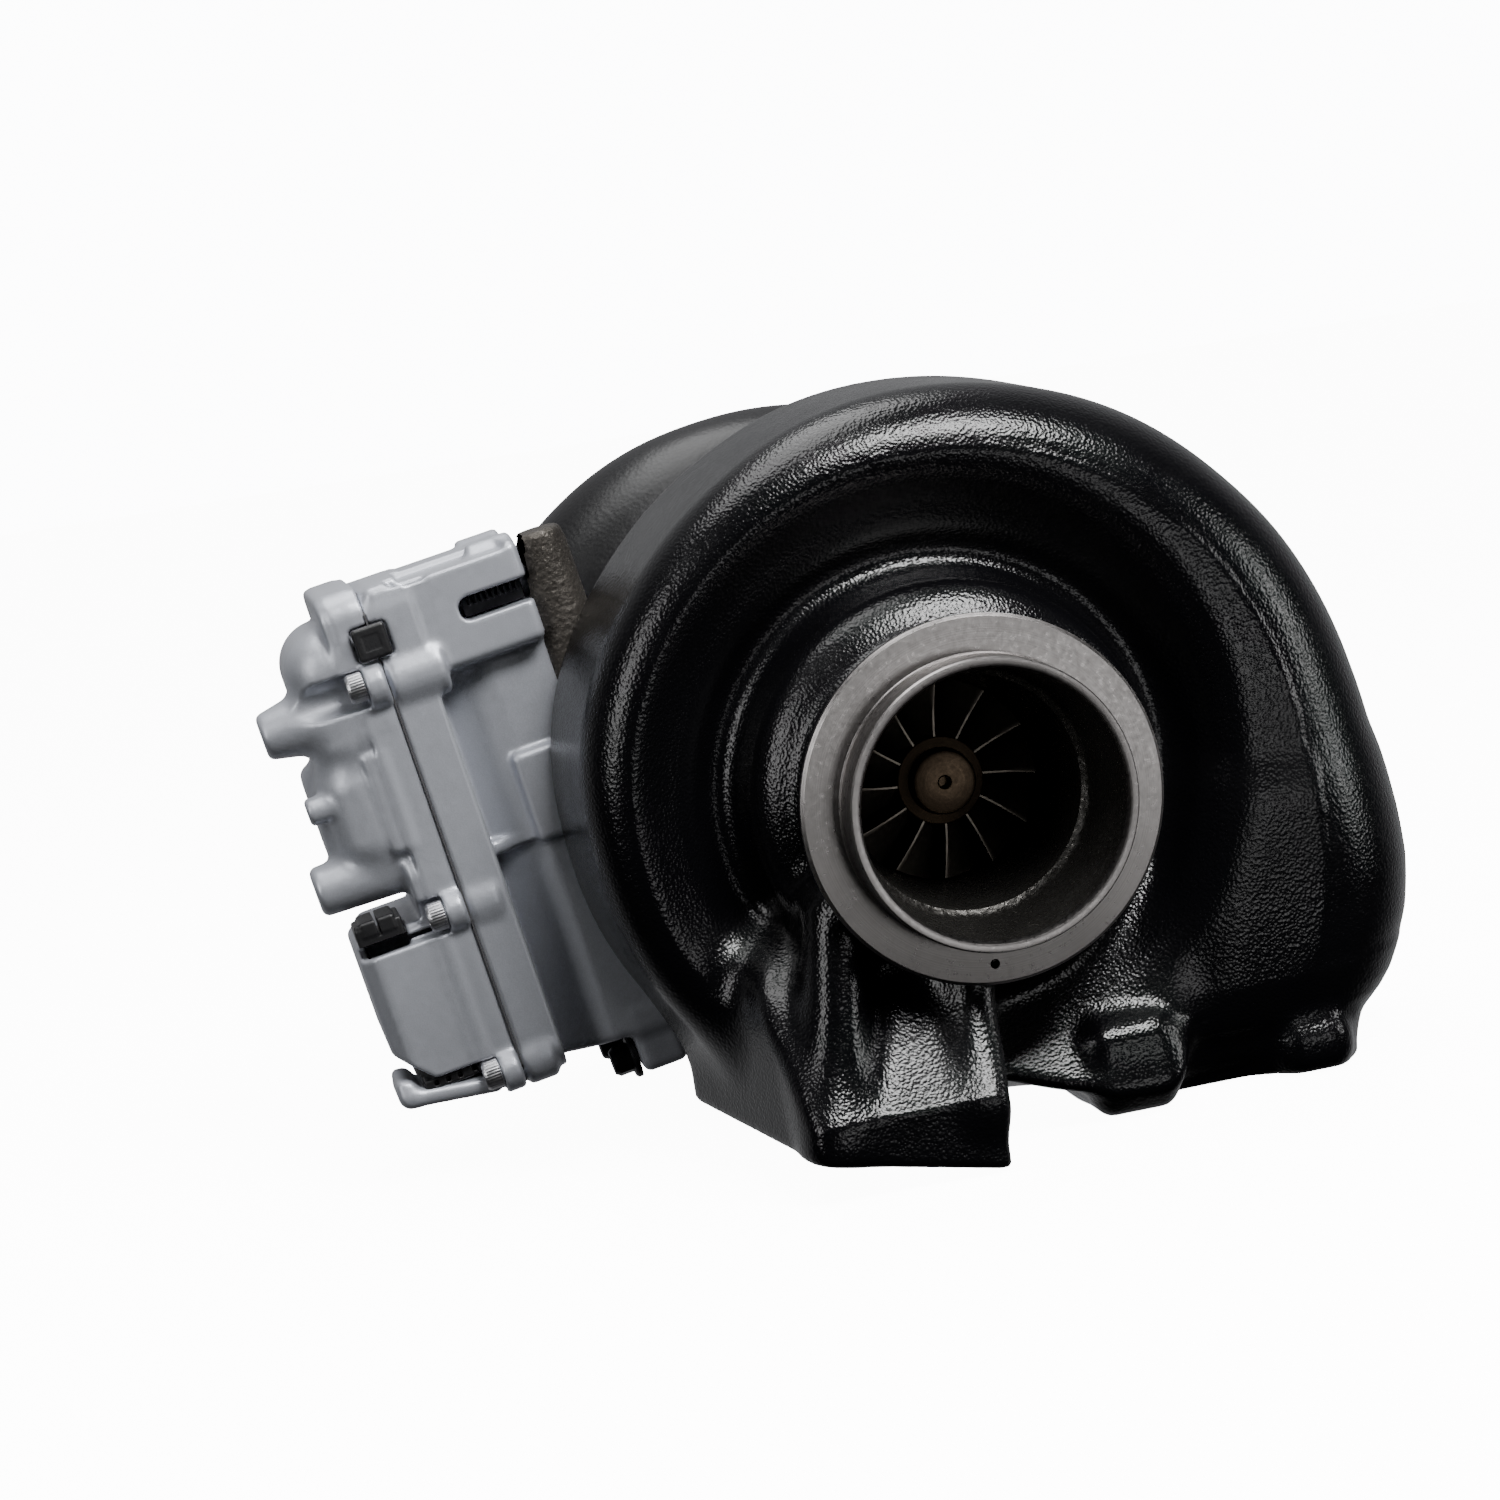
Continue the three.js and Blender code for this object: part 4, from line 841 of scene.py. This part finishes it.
for i, yy in enumerate((124, 152)):
    turned("flange_bolt_%d" % (i + 1), BOLT, M_DARKST, (-112.3, yy, -66), (-1, 0, 0), node="actuator_bolt_%d" % (i + 1), act=True, turn=0.4 + i)
turned("feed_plug", [(0, 68, "c"), (3.6, 68, "c"), (4.1, 68.6, "c"), (4.1, 83.0, "c"), (3.7, 83.4, "c"), (2.5, 83.4, "c"), (2.2, 83.0, "h"), (2.2, 77.5, "h"), (0, 76.8, "c")], M_PLASTIC, (4, 142, 0), (0, 0, 1), node="oil_inlet_plug")
turned("speed_probe", [(0, 40, "c"), (5.6, 40, "c"), (6.4, 41, "c"), (6.4, 70, "c"), (5.9, 70.6, "c"), (5.9, 72.4, "c"), (6.4, 73, "c"), (6.4, 78.3, "c"), (8.8, 78.5, "h"), (8.9, 83.4, "h"), (8.2, 84, "c"), (6.0, 84.2, "c"), (6.0, 87, "c"), (6.7, 87.3, "c"), (6.7, 88.6, "c"), (6.0, 89, "c"), (6.0, 96.4, "c"), (5.5, 97, "c"), (4.7, 97, "c"), (4.6, 90, "c"), (1.6, 90, "c"), (1.5, 95, "c"), (0, 95.2, "c")], M_PLASTIC, (0, 142, 22), (1, 0, 0), node="speed_sensor", act=True)
turned("cross_spindle", [(0, -134, "c"), (5.2, -134, "c"), (5.9, -133.2, "c"), (5.9, -121, "c"), (5.6, -120.6, "c"), (5.6, -119.2, "c"), (5.9, -118.8, "c"), (5.9, 43.2, "c"), (5.2, 44, "c"), (1.2, 44, "c"), (0, 43.2, "c")], M_STEEL, (0, 136, -34), (1, 0, 0), body="nozzle_lever", node="cross_shaft", act=True)
turned("gear_pin", [(0, -149, "c"), (2.6, -149, "c"), (3, -148.5, "c"), (3, -110.5, "c"), (2.6, -110, "c"), (0, -110, "c")], M_STEEL, (0, 136, 6), (1, 0, 0), node="idler_pin", act=True)

# turned rings on the rotor axis
lathe("shield", [(11.8, 84), (29.9, 84), (31.6, 84.4), (34.2, 86.1), (36.6, 90.4), (37.1, 91), (37.8, 91), (37.8, 92.2), (36.2, 92.2), (35.5, 91.8), (33.2, 87.3), (31.4, 85.7), (29.6, 85.2), (11.8, 85.2)], M_NOSE, 144, node="heat_shield")
lathe("collar", [(6.15, 158), (11.7, 158), (12, 158.3), (12, 159.9), (11.7, 160.2), (8.6, 160.2), (8.6, 163.8), (11.7, 163.8), (12, 164.1), (12, 165.7), (11.7, 166), (6.15, 166)], M_STEEL, 96, body="rotor", node="thrust_collar")
lathe("slinger", [(6.15, 166.3), (13.7, 166.3), (14, 166.6), (14, 168.8), (13.5, 169.2), (9.8, 170), (9.8, 172.2), (9.2, 172.3), (9.2, 174), (9.8, 174.1), (9.8, 177.7), (9.5, 178), (6.15, 178)], M_STEEL, 96, body="rotor", node="oil_slinger")
for nm, y0, bd in (("turbine", 103, "turbine_bearing"), ("compressor", 141, "compressor_bearing")):
    lathe("bush_" + nm, [(7.2, y0 + 0.5), (7.6, y0), (10.5, y0), (10.9, y0 + 0.4), (10.9, y0 + 4), (10.4, y0 + 4.5), (10.4, y0 + 5.5), (10.9, y0 + 6), (10.9, y0 + 9.6), (10.5, y0 + 10), (7.6, y0 + 10), (7.2, y0 + 9.5)], M_BRONZE, 96, body=bd, node="journal_bearing_" + nm)
lathe("thrust_pad", [(8.8, 160.7), (9, 160.5), (15, 160.5), (15.4, 160.8), (16.4, 160.8), (16.8, 160.5), (25.8, 160.5), (26, 160.7), (26, 163.3), (25.8, 163.5), (9, 163.5), (8.8, 163.3)], M_BRONZE, 120, node="thrust_bearing")
lathe("piston_ring_turbine", [(11.35, 93), (12.2, 93), (12.2, 94.6), (11.35, 94.6)], M_STEEL, 96, a0=2, a1=358, node="seal_ring_turbine")
lathe("piston_ring_compressor", [(9.95, 172.4), (11.2, 172.4), (11.2, 174), (9.95, 174)], M_STEEL, 96, a0=2.3, a1=357.7, node="seal_ring_compressor")


# ------------------------------------------------------------------ bladed wheels
def blades(name, hub, tip, thick, count, twist, mat, body, offset=0.0, ns=26, nt=7, lean=0.0):
    """thin lofted blades; hub and tip rows are [radius, y, sweep]"""
    hub, tip = np.array(hub, float), np.array(tip, float)
    s0 = np.linspace(0, 1, len(hub))
    s = np.linspace(0, 1, ns)

    def smooth(a):
        out = np.stack([np.interp(s, s0, a[:, i]) for i in range(3)], -1)
        k = np.array([1, 2, 3, 2, 1]) / 9
        for i in range(3):
            p = np.pad(out[:, i], 2, mode="reflect", reflect_type="odd")
            out[:, i] = np.convolve(p, k, "valid")
        return out

    H, T = smooth(hub), smooth(tip)
    bm = bmesh.new()
    for kk in range(count):
        a0 = (kk + offset) * 360.0 / count
        sides = []
        for side in (-1, 1):
            grid = []
            for i in range(ns):
                row = []
                for j in range(nt):
                    t = j / (nt - 1)
                    q = H[i] * (1 - t) + T[i] * t
                    th = thick * (1.45 - 0.6 * t) * (0.35 + 0.65 * min(1, 6 * s[i], 6 * (1 - s[i])))
                    d = math.radians(a0 + twist * (q[2] + lean * math.sin(math.pi * t)))
                    row.append(bm.verts.new((q[0] * math.cos(d) - side * th / 2 * math.sin(d), q[1], q[0] * math.sin(d) + side * th / 2 * math.cos(d))))
                grid.append(row)
            sides.append(grid)
        A, B = sides
        for i in range(ns - 1):
            for j in range(nt - 1):
                bm.faces.new((A[i][j], A[i + 1][j], A[i + 1][j + 1], A[i][j + 1]))
                bm.faces.new((B[i][j], B[i][j + 1], B[i + 1][j + 1], B[i + 1][j]))
            bm.faces.new((A[i][nt - 1], A[i + 1][nt - 1], B[i + 1][nt - 1], B[i][nt - 1]))
            bm.faces.new((A[i][0], B[i][0], B[i + 1][0], A[i + 1][0]))
        for i in (0, ns - 1):
            for j in range(nt - 1):
                bm.faces.new((A[i][j], A[i][j + 1], B[i][j + 1], B[i][j]))
    bmesh.ops.recalc_face_normals(bm, faces=bm.faces)
    me = bpy.data.meshes.new(name)
    bm.to_mesh(me); bm.free()
    me.transform(Matrix.Scale(0.001, 4) @ Matrix.Translation(Vector(OFF)))
    return finish_piece(name, me, mat, body, None, 40)


HUB_T = [(0, 50.5), (1.7, 50.5), (1.7, 47.9), (2.3, 47.2), (8.9, 47.0), (9.7, 47.3), (10.3, 48.1), (10.3, 51.2), (10.7, 51.8), (13.6, 52.6), (14.4, 53.6), (14.9, 57), (15.8, 61), (17.4, 66), (20, 71), (23.2, 75), (27, 77.5), (31, 78.9), (33.7, 79.5), (34, 79.9), (34, 80.7), (33.7, 81), (26, 82), (20, 82.8), (14, 83), (11.2, 83.6), (11.2, 92.6), (10.9, 92.8), (10.9, 94.7), (11.2, 94.9), (11.2, 95.8), (10.8, 96.2), (7.0, 96.5), (7.0, 153.6), (6.0, 154.2), (6.0, 216.6), (4.8, 217.6), (4.8, 227.4), (4.2, 228), (0, 228)]
lathe("turbine_rotor", HUB_T, M_NOSE, 144, body="rotor", closed=False, node="turbine_wheel_and_shaft", deg=32)
blades("turbine_blades", [[12, 53, 30], [13.5, 60, 14], [18, 70, 3], [26, 78.7, 0]], [[31.2, 53, 35], [31.8, 60, 17], [33.8, 68, 3], [34.6, 76.5, 0]], 1.35, 12, -1, M_BLADE, "rotor")
lathe("compressor_hub", [(6.15, 178.6), (6.4, 178.4), (12, 178.4), (22, 179), (33, 180.8), (42.1, 182.9), (42.4, 183.2), (42.4, 184.3), (42.1, 184.6), (35, 185.3), (30, 186.4), (24, 189.3), (19, 193), (15.6, 197.6), (13, 203), (11.4, 210), (10.4, 217.6), (10.0, 218), (6.15, 218)], M_ALU, 144, body="rotor", node="compressor_wheel")
CHUB = [[9.2, 215.6, 50], [10.9, 206, 29], [16, 195.2, 12], [27, 185.8, 2], [41, 183.7, 0]]
CTIP = [[28.8, 213.6, 66], [29.3, 206.2, 35], [32.4, 198, 13], [37.9, 192, 3], [41.9, 189.8, 0]]
blades("compressor_blades", CHUB, CTIP, 0.9, 7, -1, M_ALU, "rotor", ns=36)
blades("splitter_blades", CHUB[1:], CTIP[1:], 0.9, 7, -1, M_ALU, "rotor", offset=0.5, ns=30)
turned("shaft_nut", [(5.2, 218.8, "c"), (5.7, 218.4, "c"), (8.6, 218.4, "c"), (8.2, 218.9, "h"), (8.2, 225.2, "h"), (8.2, 225.6, "c"), (7.2, 226.5, "c"), (5.6, 226.5, "c"), (5.2, 226.1, "c"), (5.2, 218.8, "c")], M_DARKST, (0, 0, 0), (0, 1, 0), body="rotor", node="compressor_nut")


# ------------------------------------------------------------------ V clamps
def clamp_piece(prefix, r, y0, y1, deg):
    m = (y0 + y1) / 2
    c, s = math.cos(math.radians(deg)), math.sin(math.radians(deg))

    def f(P):
        x, y, z = P[:, 0], P[:, 1], P[:, 2]
        u, v = x * c + z * s, -x * s + z * c
        rr = np.hypot(x, z)
        ring = box2(rr - (r + 0.2), y - m, 3.1, (y1 - y0) / 2 + 3.2, 1.0)
        crown = smax(ring, (rr - (r + 3.4) + 0.14 * np.abs(y - m)) * 0.99, 0.8)
        d = smax(crown, -box2(rr - (r - 2.4), y - m, 3.1, (y1 - y0) / 2 + 0.5, 0.3), 0.4)
        gap = np.maximum(np.abs(v) - 5, -u)
        d = smax(d, -gap, 0.5)
        for zz in (-6.4, 6.4):
            lug = box2(u - (r + 10.7), y - m, 9.2, 6.0, 3.0)
            lug = smax(lug, np.abs(v - zz) - 1.5, 0.5)
            d = smin(d, lug, 1.2)
        hole = np.hypot(u - (r + 13), y - m) - 3.4
        d = smax(d, -np.maximum(hole, -u), 0.2)
        return d.astype(np.float32)

    lim = r + 23
    sdf_piece(prefix + "_vee_band", f, (-lim, y0 - 5, -lim), (lim, y1 + 5, lim), 0.95, M_STEEL, prefix + "_clamp_band")
    ax = (-s, 0, c)
    at = ((r + 13) * c, m, (r + 13) * s)
    turned(prefix + "_tee_bolt", [(0, -13, "c"), (4.4, -13, "c"), (4.9, -12.5, "h"), (4.9, -8.9, "h"), (4.4, -8.3, "c"), (3.2, -8.3, "c"), (2.95, -7.9, "c"), (2.95, 13.8, "c")] + [(2.95 - 0.35 * (i % 2), 14 + 0.45 * i, "c") for i in range(13)] + [(2.4, 20, "c"), (0, 20, "c")], M_ZINC, at, ax, node=prefix + "_clamp_bolt", m=60)
    turned(prefix + "_lock_nut", [(3.3, 8.5, "c"), (3.7, 8.3, "c"), (5.5, 8.3, "c"), (4.85, 8.8, "h"), (4.85, 12.4, "h"), (4.9, 12.9, "c"), (4.3, 14, "c"), (3.6, 14, "c"), (3.3, 13.6, "c"), (3.3, 8.5, "c")], M_ZINC, at, ax, node=prefix + "_clamp_nut", m=60)


clamp_piece("turbine", 70, 111.9, 120.2, 300)
clamp_piece("compressor", 80, 165.8, 175.5, 52)


# ------------------------------------------------------------------ connectors
def f_harness(P):
    X, Y, Z = P[:, 0], P[:, 1], P[:, 2]
    d = box3(X, Y, Z, (-186.9, 104.4, -1.0), (-171.1, 124, 9.0), 1.0)
    d = smin(d, box3(X, Y, Z, (-185, 104, 5.2), (-173, 122, 10.6), 1.1), 0.6)
    d = smin(d, box3(X, Y, Z, (-186.6, 104.6, 5.4), (-183.6, 110, 10.2), 0.8), 0.5)
    d = smax(d, -box3(X, Y, Z, (-179.6, 100, 5.0), (-178.6, 130, 13), 0.3), 0.4)
    return d.astype(np.float32)


sdf_piece("harness_socket", f_harness, (-189, 102, 3), (-169, 126, 12), 0.35, M_PLASTIC, "harness_connector", act=True)


def f_motorplug(P):
    X, Y, Z = P[:, 0], P[:, 1], P[:, 2]
    d = box3(X, Y, Z, (-183, 104.5, -48.8), (-164, 160, -47.3), 0.5)
    d = smin(d, box3(X, Y, Z, (-182, 104.0, -48.9), (-165.5, 112, -45.2), 0.8), 0.5)
    for xx in (-178, -174, -170):
        d = smax(d, -box3(X, Y, Z, (xx - 0.7, 100, -47.8), (xx + 0.7, 106, -46), 0.2), 0.2)
    return d.astype(np.float32)


sdf_piece("motor_socket", f_motorplug, (-185, 102, -51), (-162, 162, -44), 0.45, M_PLASTIC, "motor_connector", act=True)


def f_vent(P):
    X, Y, Z = P[:, 0], P[:, 1], P[:, 2]
    d = box3(X, Y, Z, (-156.6, 97.4, 89.9), (-145.6, 101, 100.9), 1.2)
    d = smax(d, -box3(X, Y, Z, (-154.2, 90, 92.8), (-148.2, 97.5, 98.2), 0.5), 0.3)
    return d.astype(np.float32)


sdf_piece("breather", f_vent, (-159, 95, 88), (-143, 103, 103), 0.35, M_PLASTIC, "vent_plug", act=True)

# fine teeth in the slot
def f_comb(P):
    X, Y, Z = P[:, 0], P[:, 1], P[:, 2]
    d = box3(X, Y, Z, (-119.5, 111.5, 91.6), (-99, 113.6, 98.6), 0.4)
    teeth = box3((X % 2.0) - 1.0, Y, Z, (-0.45, 107.6, 95.2), (0.45, 113, 98.2), 0.3)
    d = smin(d, smax(teeth, np.abs(X + 109) - 9.0, 0.2), 0.2)
    return d.astype(np.float32)


sdf_piece("spring_comb", f_comb, (-122, 105, 90), (-97, 115.5, 100), 0.35, M_DARKST, act=True)

# carried-over nodes: own finish and broken edges
CARRIED = {"nozzle_ring": M_NOSE, "nozzle_shroud_plate": M_NOSE, "push_rod_left": M_STEEL, "push_rod_right": M_STEEL, "nozzle_yoke": M_STEEL, "sector_gear": M_STEEL, "idler_gear": M_PLASTIC, "motor_rotor": M_STEEL, "motor_stator": M_COPPER, "cover_gasket": M_GASKET, "circuit_board": M_BOARD, "compressor_backplate": M_ALU}
for nm, mat in CARRIED.items():
    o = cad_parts[nm]
    o.data.materials.clear()
    o.data.materials.append(mat)
    bv = o.modifiers.new("edges", "BEVEL")
    bv.width = 0.00025
    bv.segments = 2
    bv.limit_method = "ANGLE"
    bv.angle_limit = math.radians(32)
    bv.harden_normals = False



# ------------------------------------------------------------------ floor, lights, camera
def stage_all():
    bpy.ops.mesh.primitive_plane_add(size=14, location=(0, 0, -0.0006))
    floor = bpy.context.object
    floor.name = "floor"
    fm = Mat("pale_floor")
    fm.set(Base_Color=fm.mix(fm.val(fm.noise(1.5, 3, 0.5), 0.3, 0.7), (0.86, 0.86, 0.87), (0.88, 0.88, 0.89)), Roughness=0.95, Specular_IOR_Level=0.1, Emission_Color=(1.0, 1.0, 1.0), Emission_Strength=FLOOR_GLOW)
    floor.data.materials.append(fm.m)
    floor.visible_diffuse = False
    floor.visible_glossy = False
    world = bpy.data.worlds.new("studio")
    bpy.context.scene.world = world
    world.use_nodes = True
    t = world.node_tree
    bg = t.nodes["Background"]
    co = t.nodes.new("ShaderNodeTexCoord")
    sep = t.nodes.new("ShaderNodeSeparateXYZ")
    t.links.new(co.outputs["Generated"], sep.inputs[0])

    def ramp(sock, stops):
        n = t.nodes.new("ShaderNodeMapRange")
        n.interpolation_type = "SMOOTHSTEP"
        (n.inputs["From Min"].default_value, n.inputs["To Min"].default_value), (n.inputs["From Max"].default_value, n.inputs["To Max"].default_value) = stops
        t.links.new(sock, n.inputs["Value"])
        return n.outputs["Result"]

    def op(kind, a, b):
        n = t.nodes.new("ShaderNodeMath")
        n.operation = kind
        for i, v in enumerate((a, b)):
            if isinstance(v, (int, float)):
                n.inputs[i].default_value = v
            else:
                t.links.new(v, n.inputs[i])
        return n.outputs[0]

    behind = ramp(sep.outputs[1], ((-0.05, 0.008), (0.80, 0.38)))
    above = ramp(sep.outputs[2], ((0.3, 0.0), (0.95, 0.12)))
    left = ramp(sep.outputs[0], ((0.45, 0.12), (-0.9, 0.0)))
    surround = op("ADD", op("ADD", behind, above), 0.004)
    path = t.nodes.new("ShaderNodeLightPath")
    strength = op("ADD", op("MULTIPLY", op("SUBTRACT", 1.0, path.outputs["Is Camera Ray"]), surround), op("MULTIPLY", path.outputs["Is Camera Ray"], BACK_GLOW))
    bg.inputs["Color"].default_value = (0.97, 0.975, 1.0, 1)
    t.links.new(strength, bg.inputs["Strength"])

    def lamp(name, loc, aim, size, power, colour=(1, 1, 1)):
        li = bpy.data.lights.new(name, "AREA")
        li.shape = "RECTANGLE"
        li.size, li.size_y = size
        li.energy = power
        li.color = colour
        ob = bpy.data.objects.new(name, li)
        bpy.context.scene.collection.objects.link(ob)
        ob.location = loc
        ob.rotation_euler = (Vector(aim) - Vector(loc)).to_track_quat("-Z", "Y").to_euler()
        ob.visible_camera = False
        return ob

    aim = (0, 0, 0.11)
    for row in LAMPS:
        lamp(row[0], row[1], aim, row[2], row[3], row[4] if len(row) > 4 else (1, 1, 1))
    cam = bpy.data.cameras.new("camera")
    cam.sensor_width = 36
    cam.lens = 76.8
    cam.dof.use_dof = False
    co = bpy.data.objects.new("camera", cam)
    bpy.context.scene.collection.objects.link(co)
    right, up, back = Vector((0.96956885, -0.19317574, -0.15039738)), Vector((0.17270176, 0.1042625, 0.97944037)), Vector((-0.17352331, -0.97560877, 0.13445146))
    where = (Vector((-230.458, -914.085, 153.226)) + Vector(OFF)) / 1000
    m = Matrix((right, up, back)).transposed().to_4x4()
    m.translation = where
    co.matrix_world = m
    bpy.context.scene.camera = co


FLOOR_GLOW = 12.0
BACK_GLOW = 13.0
LAMPS = [
    ("key_box", (0.30, -0.72, 1.02), (0.66, 0.32), 22),
    ("top_box", (-0.15, 0.10, 1.25), (1.1, 0.6), 12),
    ("left_strip", (-1.00, -0.70, 0.50), (0.30, 0.8), 4.5),
    ("right_strip", (1.00, -0.45, 0.25), (0.14, 0.5), 2.2),
    ("low_card", (0.25, -0.75, 0.06), (0.35, 0.10), 0.38),
]
stage_all()
